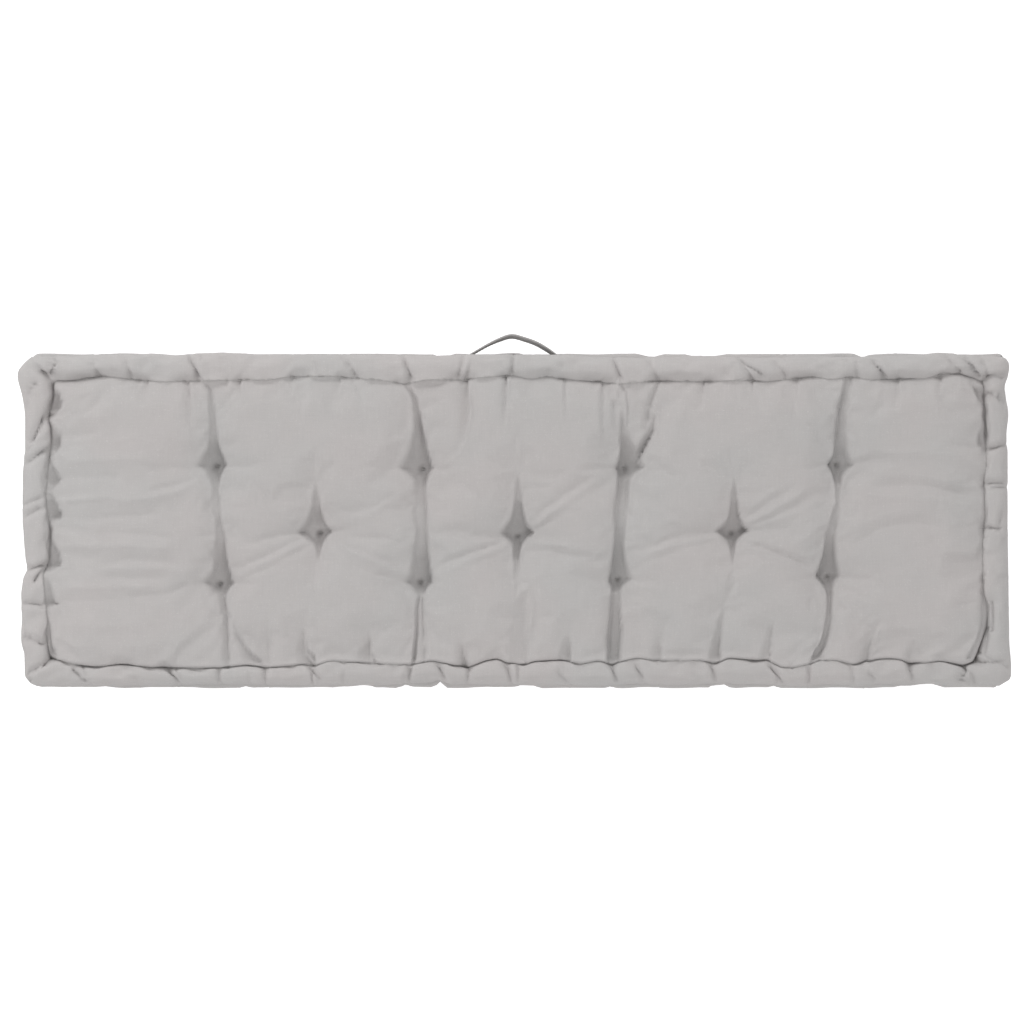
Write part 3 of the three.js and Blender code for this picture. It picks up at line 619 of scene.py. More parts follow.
def crowdedPlaces():
    # where the grid is finer along each side, because gathers and creases start there
    starts = [line[0] for depth, width, lean, line in gathers]
    creases = [crease[:2] for crease in rollCreases]
    side, end = faceGrid["nearSeam"], faceGrid["nearEnd"]
    onEnds = [(x, y) for x, y in creases if abs(x) > end and abs(y) < faceGrid["between"]]
    return {
        "back": [x for x, y in starts if y > 0] + [x for x, y in creases if y > side],
        "front": [x for x, y in starts if y < 0] + [x for x, y in creases if y < -side],
        "left": [y for x, y in onEnds if x < 0], "right": [y for x, y in onEnds if x > 0],
        "middle": [],
    }


def planGrid():
    # plan positions of the face's grid, column by row, before its corners are rounded
    places = crowdedPlaces()
    rowY = [cover["seamFront"], *faceGrid["rowLines"], cover["seamBack"]]
    rows = []
    for side in ("left", "middle", "right"):
        row = [crowded(a, b, count, places[side], faceGrid["rowCrowd"])
               for a, b, count in zip(rowY[:-1], rowY[1:], faceGrid["rows"])]
        rows.append(np.concatenate(row + [[cover["seamBack"]]]))

    lineAt = [tableLine(line, byX=False) for line in columnLines]
    shares, section = [], []
    levels = {"front": cover["seamFront"], "middle": 0.0, "back": cover["seamBack"]}
    for side, level in levels.items():
        lines = [line(level) for line in lineAt]
        share = []
        for k, count in enumerate(faceGrid["columns"]):
            at = crowded(lines[k], lines[k + 1], count, places[side], faceGrid["lineCrowd"])
            share += [(place - lines[k]) / (lines[k + 1] - lines[k]) for place in at]
        shares.append(np.array(share + [1.0])[:, None])
    for k, count in enumerate(faceGrid["columns"]):
        section += [k] * count
    section = np.array(section + [section[-1]])

    middle = [line(0.0) for line in lineAt]
    middleX = np.array([middle[k] + (middle[k + 1] - middle[k]) * share
                        for k, share in zip(section, shares[1][:, 0])])[:, None]
    start, end = faceGrid["ends"]
    toLeft, toRight = 1 - smoothStep(middleX, -end, -start), smoothStep(middleX, start, end)
    flatY = rows[0] * toLeft + rows[1] * (1 - toLeft - toRight) + rows[2] * toRight
    toFront = 1 - smoothStep(flatY, *faceGrid["front"])
    toBack = smoothStep(flatY, *faceGrid["back"])
    share = shares[0] * toFront + shares[1] * (1 - toFront - toBack) + shares[2] * toBack
    x = np.empty(flatY.shape)
    for k in range(len(columnLines) - 1):
        here = section == k
        low, high = lineAt[k](flatY[here]), lineAt[k + 1](flatY[here])
        x[here] = low + (high - low) * share[here]
    upShare = (flatY - cover["seamFront"]) / (cover["seamBack"] - cover["seamFront"])
    waveFront = seamFrontAt(x) - cover["seamFront"]
    waveBack = seamBackAt(x) - cover["seamBack"]
    return x, flatY + waveFront * (1 - upShare) ** 2 + waveBack * upShare ** 2


def pullCorners(x, y):
    # rounds the corners of the face by drawing them in along the diagonal
    diagonal = 0.41
    for cornerX in (cover["seamLeft"], cover["seamRight"]):
        for cornerY in (cover["seamFront"], cover["seamBack"]):
            away = np.hypot(x - cornerX, y - cornerY)
            pull = faceGrid["cornerPull"] * diagonal * bell(away, faceGrid["cornerReach"])
            x = x - np.sign(cornerX) * pull
            y = y - np.sign(cornerY) * pull
    return x, y


def edgeLoop(shape):
    # grid numbers round the seam, anticlockwise from the front left corner
    columns, rows = shape[0] - 1, shape[1] - 1
    loop = [(i, 0) for i in range(columns)] + [(columns, j) for j in range(rows)]
    loop += [(i, rows) for i in range(columns, 0, -1)] + [(0, j) for j in range(rows, 0, -1)]
    return np.array(loop)


def loopSides(loop, shape):
    # which points of the loop lie on each side; the corners count as front and back
    columns, rows = shape[0] - 1, shape[1] - 1
    front, back = loop[:, 1] == 0, loop[:, 1] == rows
    between = ~front & ~back
    return {"front": front, "back": back,
            "left": (loop[:, 0] == 0) & between, "right": (loop[:, 0] == columns) & between}


def spread(value, lowSide, highSide, lowOut, highOut, over=100):
    # carries a place on the seam out to the roll, which only widens near the corners
    toHigh = smoothStep(value, highSide - over, highSide) * (highOut - highSide)
    toLow = (1 - smoothStep(value, lowSide, lowSide + over)) * (lowOut - lowSide)
    return value + toHigh + toLow


def roundCorners(x, y, onEnd, cornerX, cornerY, radius):
    # bends the outline round its corners
    away = np.where(onEnd, np.abs(y - cornerY), np.abs(x - cornerX))
    near = np.clip(1 - away / radius, 0, 1)
    along = radius * (1 - np.sin(np.pi / 4 * near))
    across = radius * (1 - np.cos(np.pi / 4 * near))
    x = np.where(onEnd, x + (cornerX - x) * near - np.sign(cornerX) * across, x)
    y = np.where(onEnd, y, y + (cornerY - y) * near - np.sign(cornerY) * across)
    inside = away < radius
    return (np.where(inside & ~onEnd, cornerX - np.sign(cornerX) * along, x),
            np.where(inside & onEnd, cornerY - np.sign(cornerY) * along, y))


def outlinePoints(seamX, seamY, sides, lower=False):
    # the point of the roll's outermost line beyond each point of the seam
    x = spread(seamX, cover["seamLeft"], cover["seamRight"], cover["left"], cover["right"])
    y = spread(seamY, cover["seamFront"], cover["seamBack"], cover["front"], cover["back"])
    cornerX = np.where(seamX < 0, cover["left"], cover["right"])
    cornerY = np.where(seamY < 0, cover["front"], cover["back"])
    if lower:
        lowest = cover["front"] - cover["lowerOut"]
        for place, depth in frontNotches:
            lowest = lowest + depth * bell(x - place, notchReach)
        y = np.where(sides["back"], cover["back"], np.where(sides["front"], lowest, y))
        x = np.where(sides["left"], cover["left"], np.where(sides["right"], cover["right"], x))
    else:
        place = cornerY * cornerReading["y"]
        cornerX = np.where(seamX < 0, outLeftAt(place), outRightAt(place))
        place = cornerX * cornerReading["x"]
        cornerY = np.where(seamY < 0, outFrontAt(place), outBackAt(place))
        y = np.where(sides["back"], outBackAt(x) + rimSlack["back"],
                     np.where(sides["front"], outFrontAt(x) - rimSlack["front"], y))
        x = np.where(sides["left"], outLeftAt(y) - rimSlack["left"],
                     np.where(sides["right"], outRightAt(y) + rimSlack["right"], x))
    radius = [np.where(seamY > 0, end["back"], end["front"]) for end in cornerRadius.values()]
    radius = np.where(seamX > 0, radius[1], radius[0])
    return roundCorners(x, y, sides["left"] | sides["right"], cornerX, cornerY, radius)


def chainRelief(x, y, chain, reach):
    # the points near a chain, with their distance, share and side
    chain = rounded(chain)
    lowest, highest = chain.min(0) - reach, chain.max(0) + reach
    near = (x > lowest[0]) & (x < highest[0]) & (y > lowest[1]) & (y < highest[1])
    return near, alongChain(x[near], y[near], chain)


def channelDepth(x, y, lean, at, left, right, depth):
    # how deep one channel is near it: a steep wall, a softer one, and shoulders beyond them
    left, right, depth = (np.interp(y, at, value) for value in (left, right, depth))
    fade = channelShape["fade"]
    depth = depth * (1 - smoothStep(y, at[-1], at[-1] + fade)) * smoothStep(y, at[0] - fade, at[0])
    deeper = np.maximum(0, depth - channelShape["deepFrom"]) * channelShape["deepMore"]
    depth = depth * channelShape["depth"] + deeper
    across = np.clip((x - (left + right) / 2) / (right - left) * 2, -1, 1)
    wallShare = channelShape["softShare" if abs(lean) <= 1 else "rampShare"]
    lean = np.clip(lean, -1, 1)
    steep = channelShape["steep"]
    soft = np.clip(wallShare * (right - left), channelShape["soft"], channelShape["softest"])
    soft = steep + (soft - steep) * abs(lean)
    leftWall, rightWall = (soft, steep) if lean > 0 else (steep, soft)
    trough = smoothStep(x - left, -leftWall, leftWall)
    trough = trough * smoothStep(right - x, -rightWall, rightWall)
    trough = trough * (1 - channelShape["tilt"] * (abs(lean) - lean * across))
    beyond = np.where(lean > 0, x - right, left - x)
    other = np.where(lean > 0, left - x, x - right)
    onSteep = fading(beyond, channelShape["shoulderReach"]) * (other <= 0)
    onSoft = (1 - abs(lean)) * fading(other, channelShape["shoulderReach"]) * (other > 0)
    shoulder = channelShape["shoulder"] * (onSteep + onSoft)
    return depth * (trough * (1 - channelShape["shoulder"]) + shoulder)


def drawnIn(x, y, tight=True, broad=True):
    # how far the tufts and channels draw the cloth in, as one blended depth,
    # with the tight middles of the tufts and the broad hollows round them
    blend = 4
    total, hollow = np.zeros(x.shape), np.zeros(x.shape)
    for tx, ty in tufts:
        dy = (y - ty + tuftShape["pitForward"]) / tuftShape["pitY"]
        r = np.hypot((x - tx) / tuftShape["pitX"], dy)
        total += (tuftShape["pit"] * bell(r, 1)) ** blend
        r = np.hypot(x - tx, y - ty) / tuftShape["hollowReach"]
        hollow = np.maximum(hollow, tuftShape["hollow"] * bell(r, 1, tuftShape["hollowRound"]))
    for lean, rows in channels:
        at, left, right, depth = np.array(rows[::-1]).T
        fade, reach = channelShape["fade"], channelShape["reach"]
        near = (y > at[0] - fade) & (y < at[-1] + fade)
        near &= (x > left.min() - reach) & (x < right.max() + reach)
        total[near] += channelDepth(x[near], y[near], lean, at, left, right, depth) ** blend
    depth = total ** (1 / blend) + hollow * broad
    if tight:
        for tx, ty in tufts:
            core = np.hypot((x - tx) / tuftShape["coreX"], (y - ty) / tuftShape["coreY"])
            slit = np.hypot((x - tx) / tuftShape["slitX"], (y - ty) / tuftShape["slitY"])
            depth += tuftShape["core"] * bell(core, 1) + tuftShape["slit"] * bell(slit, 1)
    return depth


def stitchPull(dx, dy, onEnd):
    # how strongly one pulled stitch draws the groove down; longer along the seam than across it
    along, across = creaseShape["stitchReach"], creaseShape["stitchWidth"]
    r = np.hypot(dx / across, dy / along) if onEnd else np.hypot(dx / along, dy / across)
    return bell(r, 1, creaseShape["stitchRound"])


def stitchDimples(x, y):
    # each stitch of the rolled edge pulls the groove down where a crease starts
    depth = np.zeros(x.shape)
    for x1, y1, x2, y2, strength in rollCreases:
        pull = stitchPull(x - x1, y - y1, abs(x1) > creaseShape["onEnd"])
        depth = np.maximum(depth, strength * creaseShape["stitchDepth"] * pull)
    for atSeam, width, lean, line in gathers:
        x1, y1 = line[0]
        if abs(y1) > faceGrid["nearSeam"]:
            strength = gatherShape["seamPull"] + gatherShape["pullShare"] * atSeam
            depth = np.maximum(depth, strength * stitchPull(x - x1, y - y1, False))
    return depth


def fillAt(side, place):
    at, value = np.array(sorted(grooveFill[side])).T
    return np.interp(place, at, value)


faceShape = {
    "cornerBlend": 3.0,  # blends the distances to two seams in a corner
    "sideFrom": 10, "sideTo": 50,  # how far in the front and back seams shape the face
    "reach": 3.0, "frontReach": -1.2, "backReach": 6, "frontShare": 0.4,
    "rise": 0.48, "frontRise": 0.22, "riseEnd": 0.76, "middleReach": 17,
    "crownRise": 0.24, "crownReach": 75, "fillReach": 2.5, "inside": 9,
    "seamDraw": 0.55, "insideDraw": 0.45,  # how much of a hollow shows at the seam, and more inside
    "bendX": [(0.9, 1, 24, 11), (0.35, 1, 9, 12)], "bendY": [(0.9, 1, 24, 13), (0.35, 1, 9, 14)],
    "puckers": [(1, 0.25, 7.5, 21), (0.6, 0.25, 15, 22)],
    "pucker": 0.75, "puckerReach": 13, "puckerTo": 4,
    "stuffing": [(0.9, 1, 62, 31), (0.5, 1, 27, 32), (0.16, 1, 10, 33)],
}


def seamLevel(x, y, sides):
    # the stitched groove lies lowest along the front and highest along the back
    toBack = smoothStep(y, cover["liftFrom"], cover["liftTo"])
    toFront = 1 - smoothStep(y, -cover["liftTo"], -cover["liftFrom"])
    level = cover["seamHeight"] + cover["backLift"] * toBack - cover["frontDrop"] * toFront
    fill = np.where(sides["left"], fillAt("left", y), fillAt("right", y))
    fill = np.where(sides["front"], fillAt("front", x), fill)
    fill = np.where(sides["back"], fillAt("back", x), fill)
    return level + fill - stitchDimples(x, y) - faceShape["seamDraw"] * drawnIn(x, y, False)


def crownHeight(x, y, toSeam, inward):
    # the plain filled face: steep beside the seams, then slowly up to its crown
    nearFront, nearBack = (1 - smoothStep(toSeam[side], faceShape["sideFrom"], faceShape["sideTo"])
                           for side in ("front", "back"))
    reach = faceShape["reach"] + faceShape["frontReach"] * nearFront
    reach = reach + faceShape["backReach"] * nearBack
    reach = reach * (1 - faceShape["frontShare"] * nearFront)
    quick = faceShape["rise"] + faceShape["frontRise"] * nearFront
    rise = quick * (1 - fading(inward, reach))
    rise = rise + (faceShape["riseEnd"] - quick) * (1 - fading(inward, faceShape["middleReach"]))
    rise += faceShape["crownRise"] * (1 - fading(inward, faceShape["crownReach"]))
    base = cover["seamHeight"] + cover["backLift"] * nearBack - cover["frontDrop"] * nearFront
    height = base + (cover["crown"] - base) * rise
    for side, d in toSeam.items():
        fill = fillAt(side, x if side in ("front", "back") else y)
        height += fill * fading(d, faceShape["fillReach"])
    return height


def addFolds(height, x, y, inside):
    # the taut folds, ripples and gathers, one by one
    for startRise, endRise, startWidth, endWidth, line in folds:
        near, (d, share, side) = chainRelief(x, y, line, foldShape["reach"])
        amount = startRise + (endRise - startRise) * share
        d = d / (startWidth + (endWidth - startWidth) * share)
        sharp = foldShape["crease" if startRise < 0 else "ridge"]
        fade = between(share, foldShape["start"], foldShape["end"])
        height[near] += amount * bell(d, 1, sharp) * fade * inside[near]
    for rise, toBack, toFront, line in ripples:
        near, (d, share, side) = chainRelief(x, y, line, rippleShape["reach"])
        d = d / np.where(side > 0, toBack, toFront)
        fade = between(share, rippleShape["start"], rippleShape["end"])
        height[near] += rise * np.exp(-d) * fade * inside[near]
    for depth, width, lean, line in gathers:
        near, (d, share, side) = chainRelief(x, y, line, gatherShape["reach"])
        fade = (1 - share) ** gatherShape["fade"] * smoothStep(share, *gatherShape["start"])
        beyond = d * side * lean * (1 if line[0][1] > line[-1][1] else -1)
        reach = gatherShape["softReach"] * width
        soft = bell(np.maximum(-beyond, 0), reach, gatherShape["softRound"])
        steep = 1 - smoothStep(beyond, gatherShape["foot"], gatherShape["wall"])
        lip = bell(beyond - gatherShape["lipAt"], gatherShape["lipReach"])
        height[near] += depth * (gatherShape["lip"] * lip - soft * steep) * fade


def faceHeight(x, y):
    toSeam = {"front": y - seamFrontAt(x), "back": seamBackAt(x) - y,
              "left": x - seamLeftAt(y), "right": seamRightAt(y) - x}
    blend = faceShape["cornerBlend"]
    inward = sum(fading(d, blend) for d in toSeam.values())
    inward = np.maximum(-blend * np.log(inward), 0)
    inside = smoothStep(inward, 0, faceShape["inside"])
    height = crownHeight(x, y, toSeam, inward)
    bendX, bendY = uneven(x, y, faceShape["bendX"], x), uneven(x, y, faceShape["bendY"], y)
    height -= drawnIn(bendX, bendY) * (faceShape["seamDraw"] + faceShape["insideDraw"] * inside)
    addFolds(height, bendX, bendY, inside)
    height -= stitchDimples(x, y)
    # small puckers beside the seams, and the soft unevenness of the stuffing
    for side, d in toSeam.items():
        along, across = (x, y) if side in ("front", "back") else (y, x)
        pucker = faceShape["pucker"] * uneven(along, across, faceShape["puckers"])
        pucker = pucker * fading(d, faceShape["puckerReach"])
        height += pucker * smoothStep(d, 0, faceShape["puckerTo"])
    return height + uneven(x, y, faceShape["stuffing"]) * inside


def backHeight(x, y):
    # the back panel lies on the ground, and rises to its seam and into its tufts
    inward = np.minimum.reduce([y - cover["seamFront"], cover["seamBack"] - y,
                                x - cover["seamLeft"], cover["seamRight"] - x])
    edge, reach, sunk = 10, 12, 2.5
    rise = edge * fading(inward, reach)
    return np.maximum(0, np.maximum(rise, faceShape["seamDraw"] * drawnIn(x, y, False)) - sunk)


def sectionPoints(table, count, crowd=1.0):
    # a smooth section through the table's points, closer together at its start and in its bends
    chain = rounded(table, 3)
    steps = np.diff(chain, axis=0)
    lengths = summed(np.hypot(*steps.T))
    heading = np.unwrap(np.arctan2(steps[:, 1], steps[:, 0]))
    turned = summed(np.abs(np.gradient(heading)))
    measure = lengths / lengths[-1] + rollShape["bendShare"] * turned / turned[-1]
    at = np.interp(np.linspace(0, 1, count + 1) ** crowd * measure[-1], measure, lengths)
    out, up = (np.interp(at, lengths, column) for column in chain.T)
    return out, up, at / lengths[-1]


def creasePinch(x, y):
    # how hard the creases pinch the upper roll at plan positions, and how it puffs beside them
    hard, soft, puff = np.zeros(x.shape), np.zeros(x.shape), np.zeros(x.shape)
    for k, (x1, y1, x2, y2, strength) in enumerate(rollCreases):
        length = np.hypot(x2 - x1, y2 - y1)
        dx, dy = (x2 - x1) / length, (y2 - y1) / length
        t = (x - x1) * dx + (y - y1) * dy
        t = np.clip(t, -creaseShape["before"], length + creaseShape["past"])
        d = np.hypot(x - x1 - t * dx, y - y1 - t * dy)
        hard = np.maximum(hard, strength * bell(d, creaseShape["reach"], creaseShape["sharp"]))
        soft = np.maximum(soft, strength * bell(d, creaseShape["softReach"]))
        fuller = ((y - y1) * dx - (x - x1) * dy) * (1 if k % 3 else -1)
        bulge = bell(fuller - creaseShape["puffFrom"], creaseShape["puffReach"])
        puff = np.maximum(puff, strength * bulge * (d < creaseShape["puffEnd"]))
    pinch = creaseShape["pinch"] * hard + creaseShape["softPinch"] * soft
    return pinch - creaseShape["puff"] * puff


def ringAt(seam, outline, out, height):
    # a ring so far out on the way from the seam to the outline, both in plan
    reach = out / cover["rollWidth"]
    return np.stack([a + (b - a) * reach for a, b in zip(seam, outline)] + [height], -1)


def upperRings(plan):
    # the upper roll, ring by ring from the seam to the boxing, at the face's own spacing;
    # towards the boxing its waving lines become the straight ones of the lower roll
    out, up, share = sectionPoints(upperSection, faceGrid["upperRings"], rollShape["crowd"])
    top = int(np.argmax(up))
    made = []
    for k in range(1, len(out)):
        toFlat = smoothStep(share[k], *rollShape["toFlat"])
        seam, outline = ([a * (1 - toFlat) + b * toFlat for a, b in zip(plan[waving], plan[flat])]
                         for waving, flat in (("seam", "flatSeam"), ("out", "flatOut")))
        px, py, height = ringAt(seam, outline, out[k], plan["level"]).T
        pinch = creasePinch(px, py) - uneven(plan["run"], share[k], rollShape["uneven"])
        pinch = pinch * between(share[k], *rollShape["grip"])
        rim = 1 - rollShape["rimHeld"] * smoothStep(out[k], *rollShape["rim"])
        newOut = out[k] + (rollShape["coreOut"] - out[k]) * pinch * rim
        newUp = up[k] + (rollShape["coreUp"] - up[k]) * pinch
        if out[k] < out[top]:
            steep = (up[k] - up[0]) / (up[top] - up[0])
            gentle = 1 - (1 - out[k] / out[top]) ** rollShape["gentleBend"]
            nearBack = smoothStep(plan["seam"][1], *rollShape["back"])
            rise = steep + (gentle - steep) * rollShape["backGentle"] * nearBack
            newUp += plan["level"] + (up[top] - plan["level"]) * rise - up[k]
        made.append(ringAt(seam, outline, newOut, newUp))
    return made


def lowerRings(plan):
    # the boxing and the lower roll, from the upper roll down to the back's seam, at every
    # second point
    seam, outline = ([line[::2] for line in plan[name]] for name in ("flatSeam", "flatOut"))
    run = plan["run"][::2]
    awayFromStrap = smoothStep(np.abs(seam[0]), *rollShape["besideStrap"])
    awayFromStrap = np.where(seam[1] > 0, awayFromStrap, 1.0)
    top, bottom, count = cover["boxingTop"], cover["boxingBottom"], faceGrid["boxingRings"]
    levels = []
    for height in np.linspace(top, bottom, count + 2)[1:-1]:
        slack = uneven(run, height, rollShape["boxingUneven"])
        levels.append((cover["boxingOut"] + slack * awayFromStrap, np.full(len(run), height)))
    for out, up, share in list(zip(*sectionPoints(lowerSection, faceGrid["lowerRings"])))[:-1]:
        tucks = np.clip(uneven(run, share, rollShape["tucks"], -rollShape["tuckFrom"]), 0, 1)
        pinch = rollShape["tuckPinch"] * tucks - uneven(run, share, rollShape["lowUneven"])
        pinch = pinch * between(share, *rollShape["lowGrip"])
        levels.append((out + (rollShape["lowCoreOut"] - out) * pinch,
                       up + (rollShape["lowCoreUp"] - up) * pinch))
    return [ringAt(seam, outline, out, np.maximum(height, 0)) for out, height in levels]


def numbered(ringPoints, first):
    # the numbers of the points of rings that follow each other
    starts = first + np.cumsum([0] + [len(ring) for ring in ringPoints])
    return [np.arange(a, b) for a, b in zip(starts[:-1], starts[1:])]


def coverPoints():
    # all points of the cover, ring by ring, and the faces between them
    x, y = planGrid()
    z = faceHeight(x, y)
    x, y = pullCorners(x, y)
    loop = edgeLoop(x.shape)
    sides = loopSides(loop, x.shape)
    atSeam = (loop[:, 0], loop[:, 1])
    seamX, seamY = x[atSeam], y[atSeam]
    level = seamLevel(seamX, seamY, sides)
    z[atSeam] = level
    flatX = np.where(sides["left"], cover["seamLeft"], seamX)
    flatX = np.where(sides["right"], cover["seamRight"], flatX)
    flatY = np.where(sides["front"], cover["seamFront"], seamY)
    flatY = np.where(sides["back"], cover["seamBack"], flatY)
    plan = {
        "seam": (seamX, seamY), "out": outlinePoints(seamX, seamY, sides), "level": level,
        "flatSeam": (flatX, flatY), "flatOut": outlinePoints(flatX, flatY, sides, lower=True),
        "run": summed(np.hypot(np.diff(seamX), np.diff(seamY))),
    }
    upperPoints, lowerPoints = upperRings(plan), lowerRings(plan)
    backX, backY = x[::2, ::2].copy(), y[::2, ::2].copy()
    backX[0, 1:-1], backX[-1, 1:-1] = cover["seamLeft"], cover["seamRight"]
    backY[:, 0], backY[:, -1] = cover["seamFront"], cover["seamBack"]

    face = np.arange(x.size).reshape(x.shape)
    upper = [face[atSeam]] + numbered(upperPoints, x.size)
    lower = numbered(lowerPoints, upper[-1][-1] + 1)
    back = np.arange(backX.size).reshape(backX.shape) + lower[-1][-1] + 1
    backLoop = edgeLoop(back.shape)
    quads = [gridQuads(face)] + [ringQuads(a, b) for a, b in zip(upper[:-1], upper[1:])]
    quads.append(halvingFaces(upper[-1], lower[0]))
    quads += [ringQuads(a, b) for a, b in zip(lower[:-1], lower[1:])]
    quads += [gridQuads(back)[:, ::-1], ringQuads(lower[-1], back[backLoop[:, 0], backLoop[:, 1]])]
    facePoints, backPoints = (np.stack(grid, -1).reshape(-1, 3) for grid in (
        (x, y, z), (backX, backY, backHeight(backX, backY))))
    points = np.vstack([facePoints, *upperPoints, *lowerPoints, backPoints])
    return points, quads, {"face": face, "upper": upper, "lower": lower, "back": back}


def gridQuads(number):
    a, b, c, d = number[:-1, :-1], number[1:, :-1], number[1:, 1:], number[:-1, 1:]
    return np.stack([a, b, c, d], -1).reshape(-1, 4)


def ringQuads(a, b):
    return np.stack([a, b, np.roll(b, -1), np.roll(a, -1)], -1)


def halvingFaces(fine, coarse):
    # joins a ring to one with half as many points
    first, middle, last = fine[::2], fine[1::2], np.roll(fine[::2], -1)
    nextCoarse = np.roll(coarse, -1)
    return np.concatenate([
        np.stack([first, coarse, middle], -1),
        np.stack([middle, coarse, nextCoarse], -1),
        np.stack([middle, nextCoarse, last], -1),
    ])


def placeObject(name, data):
    placed = bpy.data.objects.new(name, data)
    bpy.context.collection.objects.link(placed)
    return placed


def makeMesh(name, points, faceSets):
    mesh = bpy.data.meshes.new(name)
    faces = [tuple(int(n) for n in face) for group in faceSets for face in group]
    mesh.from_pydata([tuple(p) for p in toMetres(points)], [], faces)
    mesh.validate()
    mesh.polygons.foreach_set("use_smooth", [True] * len(mesh.polygons))
    mesh.update()
    return placeObject(name, mesh)


# The padding: how hard each part of the coarse net is held, from 0 to 1, and which of its rings
# are the outermost ones of the two rolls
simulation = {
    "grow": 0.011, "pressure": 2.0, "frames": 16, "quality": 4, "furthest": 4.5,
    "tension": 18.0, "shear": 6.0, "bending": 0.35, "mass": 0.25, "air": 1.5,
    "holdFace": 0.02, "holdChannel": 1.0, "channelFrom": 1.5, "channelTo": 3.5,
    "holdRoll": 0.15, "holdRim": 0.8, "rims": (8, 9, 15, 16, 17, 18),
}


def coarseNet(rings):
    # every second point of the face and of the rings round it, with the faces between them
    face = rings["face"][::2, ::2]
    loop = edgeLoop(face.shape)
    upper = [ring[::2] for ring in rings["upper"][2::2]]
    lower = rings["lower"][1::2]
    bands = [face[loop[:, 0], loop[:, 1]]] + upper + lower
    chosen = np.concatenate([face.ravel()] + bands[1:])
    place = np.full(chosen.max() + 1, -1)
    place[chosen] = np.arange(len(chosen))
    faces = [place[gridQuads(face)]]
    faces += [place[ringQuads(a, b)] for a, b in zip(bands[:-1], bands[1:])]
    return chosen, np.vstack(faces), place, bands


def heldShares(start, faceCount, place, bands):
    held = np.full(len(start), simulation["holdFace"])
    onFace = np.arange(len(start)) < faceCount
    depth = drawnIn(start[:, 0], start[:, 1], broad=False)
    inChannel = smoothStep(depth, simulation["channelFrom"], simulation["channelTo"])
    held[onFace] = np.maximum(held[onFace], simulation["holdChannel"] * inChannel[onFace])
    for band in bands[1:]:
        held[place[band]] = simulation["holdRoll"]
    for k in simulation["rims"]:
        held[place[bands[k]]] = simulation["holdRim"]
    for band in (bands[0], bands[-1]):
        held[place[band]] = 1
    return np.round(held, 2)


def simulatePadding(points, rings):
    # Cloth fills the panels out between the seams and tufts that hold them
    chosen, faces, place, bands = coarseNet(rings)
    start = points[chosen]
    net = makeMesh("padding_net", start, [faces])
    held = heldShares(start, rings["face"][::2, ::2].size, place, bands)
    group = net.vertex_groups.new(name="held")
    for level in np.unique(held):
        group.add([int(n) for n in np.flatnonzero(held == level)], float(level), "REPLACE")
    cloth = net.modifiers.new("padding", "CLOTH")
    settings = cloth.settings
    settings.quality = simulation["quality"]
    settings.mass = simulation["mass"]
    settings.air_damping = simulation["air"]
    settings.tension_stiffness = settings.compression_stiffness = simulation["tension"]
    settings.shear_stiffness = simulation["shear"]
    settings.bending_stiffness = simulation["bending"]
    settings.vertex_group_mass = "held"
    settings.pin_stiffness = 1.0
    settings.shrink_min = settings.shrink_max = -simulation["grow"]
    settings.use_pressure = True
    settings.uniform_pressure_force = simulation["pressure"]
    settings.effector_weights.gravity = 0
    cloth.collision_settings.use_collision = False
    cloth.point_cache.frame_start, cloth.point_cache.frame_end = 1, simulation["frames"]
    scene = bpy.context.scene
    for number in range(1, simulation["frames"] + 1):
        scene.frame_set(number)
    settled = net.evaluated_get(bpy.context.evaluated_depsgraph_get()).to_mesh()
    moved = np.empty(len(chosen) * 3)
    settled.vertices.foreach_get("co", moved)
    moved = moved.reshape(-1, 3) / mm
    moved[:, 0] -= shiftX
    moved[:, 1] -= shiftY
    change = moved - start
    length = np.linalg.norm(change, axis=1, keepdims=True)
    print("padding moved", length.mean().round(2), "mm,", length.max().round(2), "at most")
    change *= np.minimum(1, simulation["furthest"] / np.maximum(length, 1e-9))
    mesh = net.data
    bpy.data.objects.remove(net)
    bpy.data.meshes.remove(mesh)
    scene.frame_set(1)
    return place, bands, change


def doubled(values, closed):
    # carries values of every second point to the points between them, by a smooth curve
    last = values[:2] if closed else values[-1:]
    edge = np.concatenate([values[-1:] if closed else values[:1], values, last])
    middle = (edge[1:-2] + edge[2:-1]) * 9 / 16 - (edge[:-3] + edge[3:]) / 16
    out = np.empty((len(values) + len(middle), *values.shape[1:]))
    out[::2], out[1::2] = values, middle
    return out


def fillOut(points, rings):
    # the simulated movement of the coarse net, carried to every point of the cover
    place, bands, change = simulatePadding(points, rings)
    faceChange = doubled(change[place[rings["face"][::2, ::2]]], False)
    faceChange = doubled(faceChange.transpose(1, 0, 2), False).transpose(1, 0, 2)
    total = np.zeros_like(points)
    total[rings["face"].ravel()] = faceChange.reshape(-1, 3)
    known = np.array([change[place[band]] for band in bands])
    lastUpper = (len(rings["upper"]) - 1) // 2
    for ring, values in zip(rings["upper"][1:], doubled(known[:1 + lastUpper], False)[1:]):
        total[ring] = doubled(values, True)
    at = [-1] + list(range(1, len(rings["lower"]), 2))
    lower = known[lastUpper:]
    for k, ring in enumerate(rings["lower"]):
        after = max(1, int(np.searchsorted(at, k)))
        share = (k - at[after - 1]) / max(1, at[after] - at[after - 1])
        total[ring] = lower[after - 1] * (1 - share) + lower[after] * share
    moved = points + total
    moved[:, 2] = np.maximum(moved[:, 2], 0)
    return moved


points, quads, rings = coverPoints()
print("cover shaped")
points = fillOut(points, rings)
print("padding simulated")
cushion = makeMesh("cushion_cover", points, quads)
triangles = sum(len(group) * (group.shape[1] - 2) for group in quads)
print("cover made:", len(points), "points,", triangles, "triangles")


